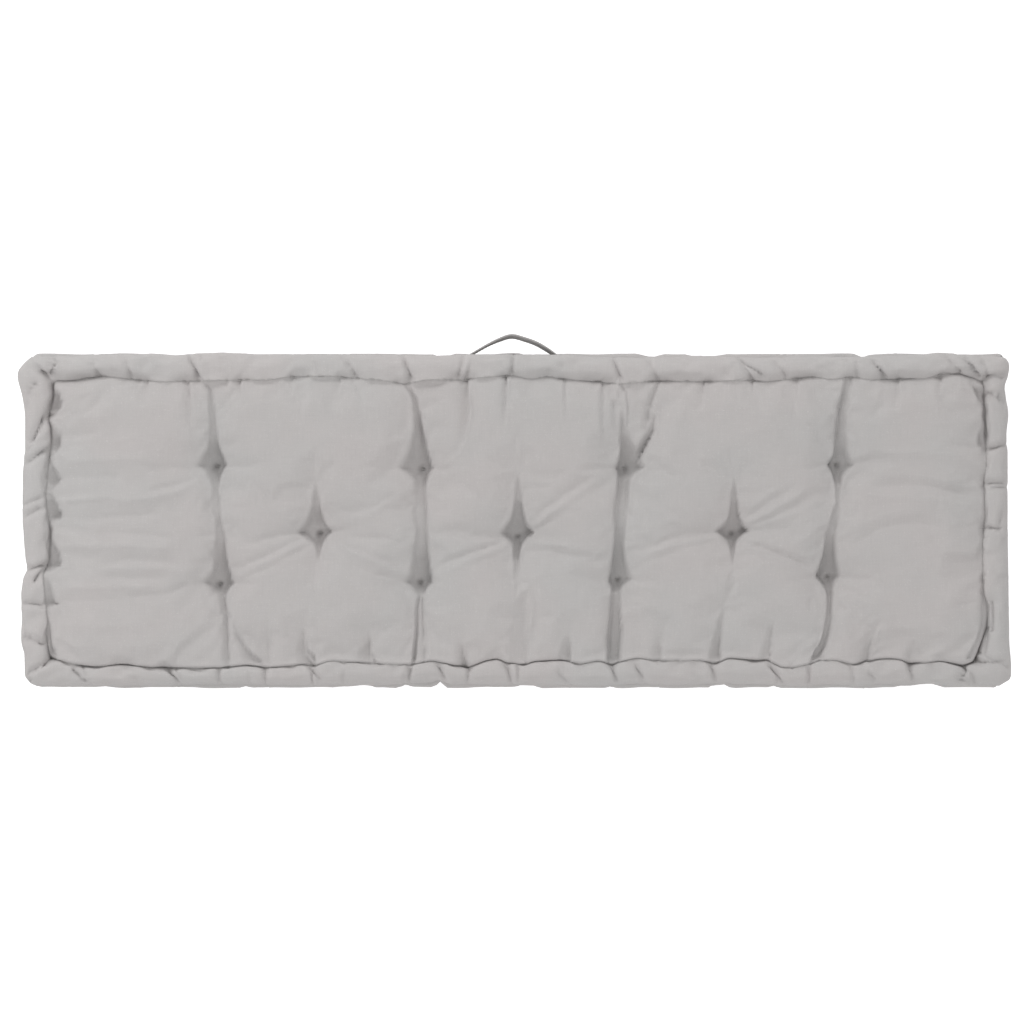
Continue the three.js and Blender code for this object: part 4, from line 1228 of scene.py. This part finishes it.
# The strap handle: x, y and how far it leans, from one end to the other
strap = {
    "thick": 2.2, "wide": 19, "middle": 35, "lean": 3, "line": 192.74, "tabFrom": 76,
    "path": [
        (-106, 192.74, 0), (-92, 192.74, 0), (-78, 192.74, 0), (-66, 194.94, 0), (-52, 203, 0),
        (-33, 213.5, 0.2), (-18, 219.5, 0.7), (-4, 223, 1), (11, 219.5, 1), (26, 214, 1),
        (40, 206, 0.9), (53, 198, 0.5), (66, 194.54, 0.1), (78, 192.74, 0), (92, 192.74, 0),
        (106, 192.74, 0),
    ],
    "steps": 8, "stitchIn": 2.4, "crumple": [(0.25, 1, 14, 71)], "crumpleStep": 3.0,
}
strapStitch = {
    "pitch": 4.2, "gap": 1.1, "radius": 0.32, "lift": 0.35, "onFace": 0.36, "from": 2, "upTo": 4,
    "boxFrom": 78.0, "boxTo": 103.0, "boxIn": 1.5, "boxShare": 0.72, "boxSunk": 0.2,
}


def smoothPath(points, steps):
    # a curve through the points
    chain = np.array(points, float)
    chain = np.vstack([2 * chain[0] - chain[1], chain, 2 * chain[-1] - chain[-2]])
    out = []
    for k in range(1, len(chain) - 2):
        p0, p1, p2, p3 = chain[k - 1:k + 3]
        for t in np.arange(steps) / steps:
            out.append(0.5 * (2 * p1 + (p2 - p0) * t + (2 * p0 - 5 * p1 + 4 * p2 - p3) * t ** 2
                              + (3 * p1 - p0 - 3 * p2 + p3) * t ** 3))
    out.append(chain[-2])
    return np.array(out)


def unit(vectors):
    return vectors / np.linalg.norm(vectors, axis=1, keepdims=True)


def placesAlong(line, run, where):
    # the places so far along a line of points
    return np.stack([np.interp(where, run, line[:, k]) for k in range(3)], 1)


def strapFrame():
    # middle line of the strap, with its directions outward and up at each point
    path = smoothPath(strap["path"], strap["steps"])
    path[:, 1] = np.maximum(path[:, 1], strap["line"])
    along = unit(np.gradient(path[:, :2], axis=0))
    outward = np.stack([-along[:, 1], along[:, 0], np.zeros(len(path))], 1)
    lean = path[:, 2:] * strap["lean"]
    up = np.hstack([outward[:, :2] * lean, np.full((len(path), 1), strap["wide"])])
    up = unit(up / strap["wide"])
    middle = np.column_stack([path[:, :2], np.full(len(path), float(strap["middle"]))])
    middle += outward * lean * 0.5
    return middle, outward, up


def strapSection():
    # flat folded strip with round edges, a doubled hem along each and a sunk line of stitching
    half = strap["wide"] / 2
    line = half - strap["stitchIn"]
    side = [(-half + 0.25, 0.72), (-half + 1.0, 1), (-line - 0.7, 1), (-line, 0.66),
            (-line + 0.7, 0.9), (-line + 2.2, 0.84)]
    side = side + [(0, 0.8)] + [(-a, share) for a, share in side[::-1]]
    side = [(a, strap["thick"] / 2 * share) for a, share in side]
    return side + [(half, 0)] + [(a, -b) for a, b in side[::-1]] + [(-half, 0)]


def buildStrap():
    middle, outward, up = strapFrame()
    section = strapSection()
    turns = []
    for k, place in enumerate(middle):
        at = np.array([k * strap["crumpleStep"]]), np.array([7.0])
        crumple = uneven(*at, strap["crumple"])[0]
        turns.append([])
        for a, b in section:
            bent = b + crumple * (1 - (a / strap["wide"] * 2) ** 2)
            turns[-1].append(place + up[k] * a + outward[k] * bent)
    points = np.array(turns)
    tab = np.abs(points[:, 0, 0]) > strap["tabFrom"]
    points[tab, :, 1] = np.clip(points[tab, :, 1], strap["line"] - strap["thick"] / 2, None)
    number = np.arange(points.shape[0] * points.shape[1]).reshape(points.shape[:2])
    quads = np.vstack([ringQuads(a, b) for a, b in zip(number[:-1], number[1:])])[:, ::-1]
    return makeMesh("strap_handle", points.reshape(-1, 3), [quads, number[:1], number[-1:, ::-1]])


# One stitch, at five places along it: how far, how thick and how high
threadShape = {
    "along": (0.0, 0.12, 0.5, 0.88, 1.0), "thick": (0.5, 1.0, 1.05, 1.0, 0.5),
    "high": (-0.6, 0.55, 1.0, 0.55, -0.6), "sides": 5,
}


def buildStitches(name, groups, stitch):
    # short threads that stand up between the holes they come from, as five-sided tubes;
    # groups: start points, end points and normals of threads
    starts, ends, normals = (np.vstack(part)[:, None] for part in zip(*groups))
    steps, thickness, heights = (np.array(threadShape[key])[:, None]
                                 for key in ("along", "thick", "high"))
    turns = (np.arange(threadShape["sides"]) / threadShape["sides"] * 2 * np.pi)[:, None]
    along = unit((ends - starts)[:, 0])
    side = unit(np.cross(along, normals[:, 0]))
    upward = np.cross(side, along)[:, None]
    centre = starts + (ends - starts) * steps + upward * (heights * stitch["lift"])
    ring = side[:, None] * np.cos(turns) + upward * np.sin(turns)
    points = centre[:, :, None] + ring[:, None] * (thickness * stitch["radius"])[:, None]
    number = np.arange(points[..., 0].size).reshape(points.shape[:3])
    quads = []
    for k in range(len(steps) - 1):
        a, b = number[:, k], number[:, k + 1]
        quads.append(np.stack([a, np.roll(a, -1, 1), np.roll(b, -1, 1), b], -1).reshape(-1, 4))
    caps = np.vstack([number[:, 0, ::-1], number[:, -1]])
    return makeMesh(name, points.reshape(-1, 3), quads + [caps])


edgeStitch = {
    "pitch": 9.5, "gap": 2.6, "radius": 0.55, "lift": 0.5,
    "faceUp": 0.35, "boxingOut": 0.9, "backDown": 0.2,
}
tuftStitch = {
    "length": 9, "radius": 0.6, "apart": 1.3, "lift": 0.4, "slant": 1.2, "near": 4, "sunk": 0.6,
}


def alongLoop(loop, pitch, gap):
    # start and end of each stitch along a closed line of points
    closed = np.vstack([loop, loop[:1]])
    run = summed(np.linalg.norm(np.diff(closed, axis=0), axis=1))
    count = int(run[-1] // pitch)
    pitch = run[-1] / count
    at = np.arange(count) * pitch
    return placesAlong(closed, run, at), placesAlong(closed, run, at + pitch - gap)


def seamStitches(points, rings):
    # the rows of stitches that hold the rolled edges: face, boxing twice, and back
    groups = []
    upper, lower = rings["upper"], rings["lower"]
    rows = [
        (points[upper[0]] + (0, 0, edgeStitch["faceUp"]), (0, 0, 1)),
        (points[upper[-1]], None),
        (points[lower[faceGrid["boxingRings"]]], None),
        (points[lower[-1]] - (0, 0, edgeStitch["backDown"]), (0, 0, -1)),
    ]
    for line, normal in rows:
        starts, ends = alongLoop(line, edgeStitch["pitch"], edgeStitch["gap"])
        if normal is None:
            along = ends - starts
            normals = unit(np.stack([along[:, 1], -along[:, 0], np.zeros(len(along))], 1))
            starts, ends = (end + normals * edgeStitch["boxingOut"] for end in (starts, ends))
        else:
            normals = np.tile(np.array(normal, float), (len(starts), 1))
        groups.append((starts, ends, normals))
    return groups


def tuftStitches(points, rings):
    # two threads across the bottom of each tuft, on the face and on the back
    groups = []
    half = tuftStitch["length"] / 2
    sides = ((points[rings["face"].ravel()], 1.0), (points[rings["back"].ravel()], -1.0))
    for net, facing in sides:
        for tx, ty in tufts:
            near = np.hypot(net[:, 0] - tx, net[:, 1] - ty) < tuftStitch["near"]
            level = net[near, 2].mean() - facing * tuftStitch["sunk"]
            for offset in (-0.5, 0.5):
                y = ty + offset * tuftStitch["apart"]
                slant = offset * tuftStitch["slant"]
                groups.append(([[tx - half, y - slant, level]], [[tx + half, y + slant, level]],
                               [[0, 0, facing]]))
    return groups


def strapStitches():
    # a row along each edge of the strap, and a crossed box on each sewn end
    middle, outward, up = strapFrame()
    run = summed(np.linalg.norm(np.diff(middle, axis=0), axis=1))
    pitch = strapStitch["pitch"]
    at = np.arange(strapStitch["from"], run[-1] - strapStitch["upTo"], pitch)
    across = strap["wide"] / 2 - strap["stitchIn"]
    groups = []
    for side in (-1, 1):
        for facing in (-1, 1):
            ends = []
            for where in (at, at + pitch - strapStitch["gap"]):
                base, above, out = (placesAlong(line, run, where) for line in (middle, up, outward))
                lift = out * facing * strap["thick"] * strapStitch["onFace"]
                ends.append(base + above * side * across + lift)
            groups.append((*ends, placesAlong(outward, run, at) * facing))
    face = strap["line"] + strap["thick"] / 2 - strapStitch["boxSunk"]
    low = strap["middle"] - across + strapStitch["boxIn"]
    high = strap["middle"] + across - strapStitch["boxIn"]
    for end in (-1, 1):
        near, far = end * strapStitch["boxFrom"], end * strapStitch["boxTo"]
        corners = [(near, low), (near, high), (far, high), (far, low)]
        for a, b in ((0, 1), (2, 3), (0, 2), (1, 3)):
            (ax, az), (bx, bz) = corners[a], corners[b]
            count = max(1, int(np.hypot(bx - ax, bz - az) // pitch))
            t0 = np.arange(count) / count
            ends = [np.stack([ax + (bx - ax) * t, np.full(count, face), az + (bz - az) * t], 1)
                    for t in (t0, t0 + strapStitch["boxShare"] / count)]
            groups.append((*ends, np.tile([0.0, 1.0, 0.0], (count, 1))))
    return groups


def paintedHollowShade(points, rings):
    # how much painted shade darkens the cloth's colour: 0 on open cloth, 1 deep in a tuft, channel
    # or seam, where shade falls
    fullDepth = 18
    share = np.zeros(len(points))
    face = rings["face"].ravel()
    share[face] = np.clip(drawnIn(points[face, 0], points[face, 1]) / fullDepth, 0, 1)
    upper, lower = rings["upper"], rings["lower"]
    for ring, amount in ((upper[0], 0.8), (upper[1], 0.4), (upper[-1], 0.8),
                         (lower[faceGrid["boxingRings"]], 0.7), (lower[-1], 0.8)):
        share[ring] = np.maximum(share[ring], amount)
    return share


handleStrap = buildStrap()
edgeThreads = buildStitches("edge_stitches", seamStitches(points, rings), edgeStitch)
tuftThreads = buildStitches("tuft_threads", tuftStitches(points, rings), tuftStitch)
strapThreads = buildStitches("strap_stitches", strapStitches(), strapStitch)
print("stitches and strap made")


def addNode(tree, kind, inputs=None, **settings):
    # a node with its settings, and its inputs joined to sockets or set to values
    made = tree.nodes.new("ShaderNode" + kind)
    for key, value in settings.items():
        setattr(made, key, value)
    for key, value in (inputs or {}).items():
        if isinstance(value, bpy.types.NodeSocket):
            tree.links.new(value, made.inputs[key])
        else:
            made.inputs[key].default_value = value
    return made


def calculate(tree, operation, *values):
    return addNode(tree, "Math", dict(enumerate(values)), operation=operation).outputs[0]


def vectors(tree, operation, first, second):
    key = "Scale" if operation == "SCALE" else 1
    return addNode(tree, "VectorMath", {0: first, key: second}, operation=operation).outputs[0]


def remap(tree, value, start=0.0, end=1.0, low=0.0, high=1.0):
    return addNode(tree, "MapRange", {0: value, 1: start, 2: end, 3: low, 4: high}).outputs[0]


def mixColours(tree, share, first, second):
    return addNode(tree, "Mix", {0: share, 6: first, 7: second}, data_type="RGBA").outputs[2]


def newGroup(name, inputs, outputs):
    tree = bpy.data.node_groups.new(name, "ShaderNodeTree")
    kind = "NodeSocketFloat"
    for label, value in inputs:
        socket = tree.interface.new_socket(label, in_out="INPUT", socket_type=kind)
        socket.default_value = value
    for label in outputs:
        tree.interface.new_socket(label, in_out="OUTPUT", socket_type=kind)
    return tree, tree.nodes.new("NodeGroupInput").outputs, tree.nodes.new("NodeGroupOutput").inputs


# The weave: how round a yarn is, and how much rounder where it lies on top; noise scales are
# per metre
weaveShape = {
    "wanderScale": 55, "detail": 0.5, "round": 0.62, "onTop": 0.32,
    "streaks": ((38, 1500, 1), (1500, 38, 1)),
}


def plainWeaveGroup():
    # crossing yarns, whichever way the cloth faces: their relief, and the streaks of thicker
    # and thinner yarn
    tree, given, result = newGroup(
        "Plain weave", [("Yarn pitch", 0.0006), ("Wander", 0.0003)], ["Relief", "Streaks"])
    around = addNode(tree, "TexCoord").outputs
    at = addNode(tree, "SeparateXYZ", {0: around["Object"]}).outputs
    facing = addNode(tree, "SeparateXYZ", {0: around["Normal"]}).outputs
    sizes = [calculate(tree, "ABSOLUTE", facing[k]) for k in range(3)]
    others = [calculate(tree, "MAXIMUM", sizes[k], sizes[1]) for k in (0, 2)]
    endward = calculate(tree, "GREATER_THAN", sizes[0], others[1])
    upward = calculate(tree, "GREATER_THAN", sizes[2], others[0])
    across = addNode(tree, "Mix", {0: endward, 2: at[0], 3: at[1]}).outputs[0]
    down = addNode(tree, "Mix", {0: upward, 2: at[2], 3: at[1]}).outputs[0]
    onCloth = addNode(tree, "CombineXYZ", {0: across, 1: down}).outputs[0]
    wander = addNode(tree, "TexNoise", {
        "Vector": onCloth, "Scale": weaveShape["wanderScale"], "Detail": weaveShape["detail"]})
    centred = vectors(tree, "SUBTRACT", wander.outputs["Color"], (0.5, 0.5, 0.5))
    place = vectors(tree, "ADD", onCloth, vectors(tree, "SCALE", centred, given["Wander"]))
    turns = calculate(tree, "DIVIDE", np.pi, given["Yarn pitch"])
    axes = addNode(tree, "SeparateXYZ", {0: vectors(tree, "SCALE", place, turns)}).outputs
    warp, weft = calculate(tree, "SINE", axes[0]), calculate(tree, "SINE", axes[1])
    over = calculate(tree, "SIGN", calculate(tree, "MULTIPLY", warp, weft))
    rounds = []
    for yarn, onTop in ((warp, weaveShape["onTop"]), (weft, -weaveShape["onTop"])):
        power = calculate(tree, "MULTIPLY_ADD", over, onTop, weaveShape["round"])
        rounds.append(calculate(tree, "POWER", calculate(tree, "ABSOLUTE", yarn), power))
    tree.links.new(calculate(tree, "MULTIPLY", *rounds), result["Relief"])
    streaks = [addNode(tree, "TexNoise", {
        "Vector": vectors(tree, "MULTIPLY", onCloth, stretch), "Scale": 1.0,
        "Detail": weaveShape["detail"]}).outputs[0] for stretch in weaveShape["streaks"]]
    both = calculate(tree, "ADD", *streaks)
    tree.links.new(calculate(tree, "MULTIPLY", both, 0.5), result["Streaks"])
    return tree


# Handled cloth: scale, detail and distortion of each noise, and where its specks of lint begin
handledShape = {
    "patches": (9, 2, 0.0), "rumples": (42, 1.5, 0.6), "fineRumples": (120, 1, 0.0),
    "fineShare": 0.35, "specks": (900, 0, 0.0), "lintFrom": 0.72, "lintTo": 0.80,
}


def handledClothGroup():
    # dye and handling: broad faint patches, small soft rumples of the cloth, and lint
    tree, given, result = newGroup("Handled cloth", [("Seed", 0.0)], ["Patches", "Rumples", "Lint"])
    place = vectors(tree, "ADD", addNode(tree, "TexCoord").outputs["Object"], given["Seed"])

    def noise(name):
        scale, detail, distortion = handledShape[name]
        return addNode(tree, "TexNoise", {
            "Vector": place, "Scale": scale, "Detail": detail, "Distortion": distortion}).outputs[0]

    tree.links.new(noise("patches"), result["Patches"])
    fineShare = handledShape["fineShare"]
    rumples = calculate(tree, "MULTIPLY_ADD", noise("fineRumples"), fineShare, noise("rumples"))
    tree.links.new(calculate(tree, "DIVIDE", rumples, 1 + fineShare), result["Rumples"])
    lint = remap(tree, noise("specks"), handledShape["lintFrom"], handledShape["lintTo"])
    tree.links.new(lint, result["Lint"])
    return tree


yarnShape = {"wobble": 0.6, "fuzzScale": 2500, "fuzzDetail": 2}


def twistedYarnGroup():
    # the plies of a sewing thread
    tree, given, result = newGroup("Twisted yarn", [("Turns", 900.0)], ["Relief", "Fuzz"])
    place = addNode(tree, "TexCoord").outputs["Object"]
    wave = addNode(tree, "TexWave", {
        "Vector": place, "Scale": given["Turns"], "Distortion": yarnShape["wobble"],
    }, bands_direction="DIAGONAL")
    fuzz = addNode(tree, "TexNoise", {
        "Vector": place, "Scale": yarnShape["fuzzScale"], "Detail": yarnShape["fuzzDetail"]})
    tree.links.new(wave.outputs["Fac"], result["Relief"])
    tree.links.new(fuzz.outputs[0], result["Fuzz"])
    return tree


effects = {"weave": plainWeaveGroup(), "handled": handledClothGroup(), "yarn": twistedYarnGroup()}


def useGroup(tree, name, inputs):
    return addNode(tree, "Group", inputs, node_tree=effects[name]).outputs


fibre = {"Sheen Roughness": 0.5, "Specular IOR Level": 0.25}


def newMaterial(name, finish):
    material = bpy.data.materials.new(name)
    material.use_nodes = True
    tree = material.node_tree
    shader = tree.nodes["Principled BSDF"]
    for label, value in {"Sheen Weight": finish["sheen"], **fibre}.items():
        shader.inputs[label].default_value = value
    return material, tree, shader.inputs


def shade(tree, colour, amounts):
    # multiplies a colour by tones that vary round 1: (tone, strength) pairs
    for tone, strength in amounts:
        factor = calculate(tree, "MULTIPLY_ADD", tone, strength, 1 - strength * 0.5)
        colour = vectors(tree, "SCALE", colour, factor)
    return colour


clothLook = {
    "wander": 0.6, "patches": (0.35, 0.65), "rumpleTone": 0.05, "streakHeight": 0.9,
    "lint": (0.62, 0.61, 0.59, 1), "lintShare": 0.35, "roughness": (0.80, 0.96),
}


def clothMaterial(name, finish):
    material, tree, surface = newMaterial(name, finish)
    pitch = finish["pitch"]
    weave = useGroup(tree, "weave", {"Yarn pitch": pitch, "Wander": pitch * clothLook["wander"]})
    handled = useGroup(tree, "handled", {"Seed": finish["seed"]})
    patch = remap(tree, handled["Patches"], *clothLook["patches"])
    colour = mixColours(tree, patch, (*finish["cool"], 1), (*finish["warm"], 1))
    # the weave's relief also darkens the colour between the yarns, as painted shade
    tones = [(weave["Streaks"], finish["streaks"]), (weave["Relief"], finish["gapShade"]),
             (handled["Rumples"], clothLook["rumpleTone"])]
    # painted shade: the colour is darkened deep in the tufts, channels and seams
    if finish["folds"]:
        fold = addNode(tree, "Attribute", attribute_name="folded").outputs["Fac"]
        tones.append((fold, -finish["folds"]))
    colour = shade(tree, colour, tones)
    lint = calculate(tree, "MULTIPLY", handled["Lint"], clothLook["lintShare"])
    tree.links.new(mixColours(tree, lint, colour, clothLook["lint"]), surface["Base Color"])
    rough = remap(tree, weave["Streaks"], 0.0, 1.0, *clothLook["roughness"])
    tree.links.new(rough, surface["Roughness"])
    soft = addNode(tree, "Bump", {
        "Height": handled["Rumples"], "Strength": 1.0, "Distance": finish["rumple"]})
    height = calculate(tree, "MULTIPLY_ADD", weave["Streaks"], clothLook["streakHeight"],
                       weave["Relief"])
    fine = addNode(tree, "Bump", {
        "Height": height, "Strength": 1.0, "Distance": finish["relief"], "Normal": soft.outputs[0]})
    tree.links.new(fine.outputs[0], surface["Normal"])
    return material


threadLook = {
    "plyShade": 0.25, "fuzzTone": 0.2, "roughness": (0.55, 0.85), "bump": 0.8, "relief": 0.00015,
}


def threadMaterial(name, finish):
    material, tree, surface = newMaterial(name, finish)
    yarn = useGroup(tree, "yarn", {"Turns": finish["turns"]})
    handled = useGroup(tree, "handled", {"Seed": finish["seed"]})
    colour = mixColours(tree, handled["Patches"], (*finish["cool"], 1), (*finish["warm"], 1))
    # the ply relief darkens the colour between the plies, as painted shade
    tones = [(yarn["Relief"], threadLook["plyShade"]), (yarn["Fuzz"], threadLook["fuzzTone"])]
    tree.links.new(shade(tree, colour, tones), surface["Base Color"])
    rough = remap(tree, yarn["Fuzz"], 0.0, 1.0, *threadLook["roughness"])
    tree.links.new(rough, surface["Roughness"])
    bump = addNode(tree, "Bump", {
        "Height": yarn["Relief"], "Strength": threadLook["bump"], "Distance": threadLook["relief"]})
    tree.links.new(bump.outputs[0], surface["Normal"])
    return material


# folds: how strongly painted shade darkens the cover's tufts, channels and seams
coverCotton = clothMaterial("cover_cotton", {
    "warm": (0.402, 0.382, 0.377), "cool": (0.391, 0.380, 0.375), "pitch": 0.0007,
    # gaps: painted shade between the yarns
    "relief": 0.00016, "rumple": 0.0012, "streaks": 0.16, "gapShade": 0.22, "folds": 0.16,
    "sheen": 0.10, "seed": 3.0,
})
strapCotton = clothMaterial("strap_cotton", {
    "warm": (0.36, 0.345, 0.34), "cool": (0.345, 0.338, 0.332), "pitch": 0.0007,
    "relief": 0.00016, "rumple": 0.0004, "streaks": 0.18, "gapShade": 0.25, "folds": 0.0,
    "sheen": 0.10, "seed": 8.0,
})
threadCotton = threadMaterial("thread_cotton", {
    "warm": (0.40, 0.385, 0.375), "cool": (0.37, 0.36, 0.35), "turns": 1400,
    "sheen": 0.15, "seed": 5.0,
})
# the painted shade of the hollows, kept on the cover's points for its material
folded = cushion.data.attributes.new("folded", "FLOAT", "POINT")
folded.data.foreach_set("value", paintedHollowShade(points, rings))
for piece, cotton, slot in (
        (cushion, coverCotton, "cover_cloth"), (edgeThreads, threadCotton, "cover_cloth"),
        (tuftThreads, threadCotton, "cover_cloth"), (handleStrap, strapCotton, "strap_cloth"),
        (strapThreads, threadCotton, "strap_cloth")):
    piece.data.materials.append(cotton)
    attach(piece, "root")
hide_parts("cushion")
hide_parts("handle")
print("cloth and thread shaded")


# Floor, lights and camera: the camera's aim and plane are in millimetres, the rest in metres
studio = {
    "lens": 100, "sensor": 36, "viewWidth": 1243.7, "aim": (-3.6, 9.7), "viewPlane": 60,
    "floorSize": 12.0, "floorLevel": -0.0005, "floorGrey": 0.8, "floorRoughness": 0.9,
    "floorGlow": 0.5, "world": 0.73,
    "lights": {  # place, size and power of each, all aimed at the middle of the cushion
        "long_softbox": ((-0.2, 3.0, 1.45), (4.5, 1.2), 55),
        "left_softbox": ((-2.1, 0.3, 1.4), (1.6, 1.2), 15),
        "front_softbox": ((0.5, -1.9, 2.3), (3.0, 1.0), 26),
    },
}


def makeFloor():
    # a lit backdrop: it looks white to the camera and lights the cushion as a grey floor would
    mesh = bpy.data.meshes.new("floor")
    s = studio["floorSize"] / 2
    corners = [(-s, -s), (s, -s), (s, s), (-s, s)]
    mesh.from_pydata([(*corner, studio["floorLevel"]) for corner in corners], [], [(0, 1, 2, 3)])
    material = bpy.data.materials.new("pale_floor")
    material.use_nodes = True
    tree = material.node_tree
    surface = tree.nodes["Principled BSDF"].inputs
    surface["Base Color"].default_value = (*[studio["floorGrey"]] * 3, 1)
    surface["Roughness"].default_value = studio["floorRoughness"]
    seen = addNode(tree, "LightPath").outputs["Is Camera Ray"]
    glow = mixColours(tree, seen, (0, 0, 0, 1), (1, 1, 1, 1))
    tree.links.new(glow, surface["Emission Color"])
    surface["Emission Strength"].default_value = studio["floorGlow"]
    mesh.materials.append(material)
    return placeObject("floor", mesh)


def areaLight(name, place, size, power):
    light = bpy.data.lights.new(name, "AREA")
    light.shape = "RECTANGLE"
    light.size, light.size_y = size
    light.energy = power
    lamp = placeObject(name, light)
    lamp.location = place
    lamp.rotation_euler = (-Vector(place)).to_track_quat("-Z", "Y").to_euler()


floor = makeFloor()
for name, (place, size, power) in studio["lights"].items():
    areaLight(name, place, size, power)
world = bpy.data.worlds.new("studio")
bpy.context.scene.world = world
world.use_nodes = True
world.node_tree.nodes["Background"].inputs["Color"].default_value = (1, 1, 1, 1)
world.node_tree.nodes["Background"].inputs["Strength"].default_value = studio["world"]

camera = bpy.data.cameras.new("camera")
camera.lens = studio["lens"]
camera.sensor_width = studio["sensor"]
eye = placeObject("camera", camera)
distance = studio["viewWidth"] * studio["lens"] / studio["sensor"]
eye.location = toMetres([(*studio["aim"], studio["viewPlane"] + distance)])[0]
bpy.context.scene.camera = eye
bpy.context.scene.view_settings.view_transform = "Standard"
print("studio lit")
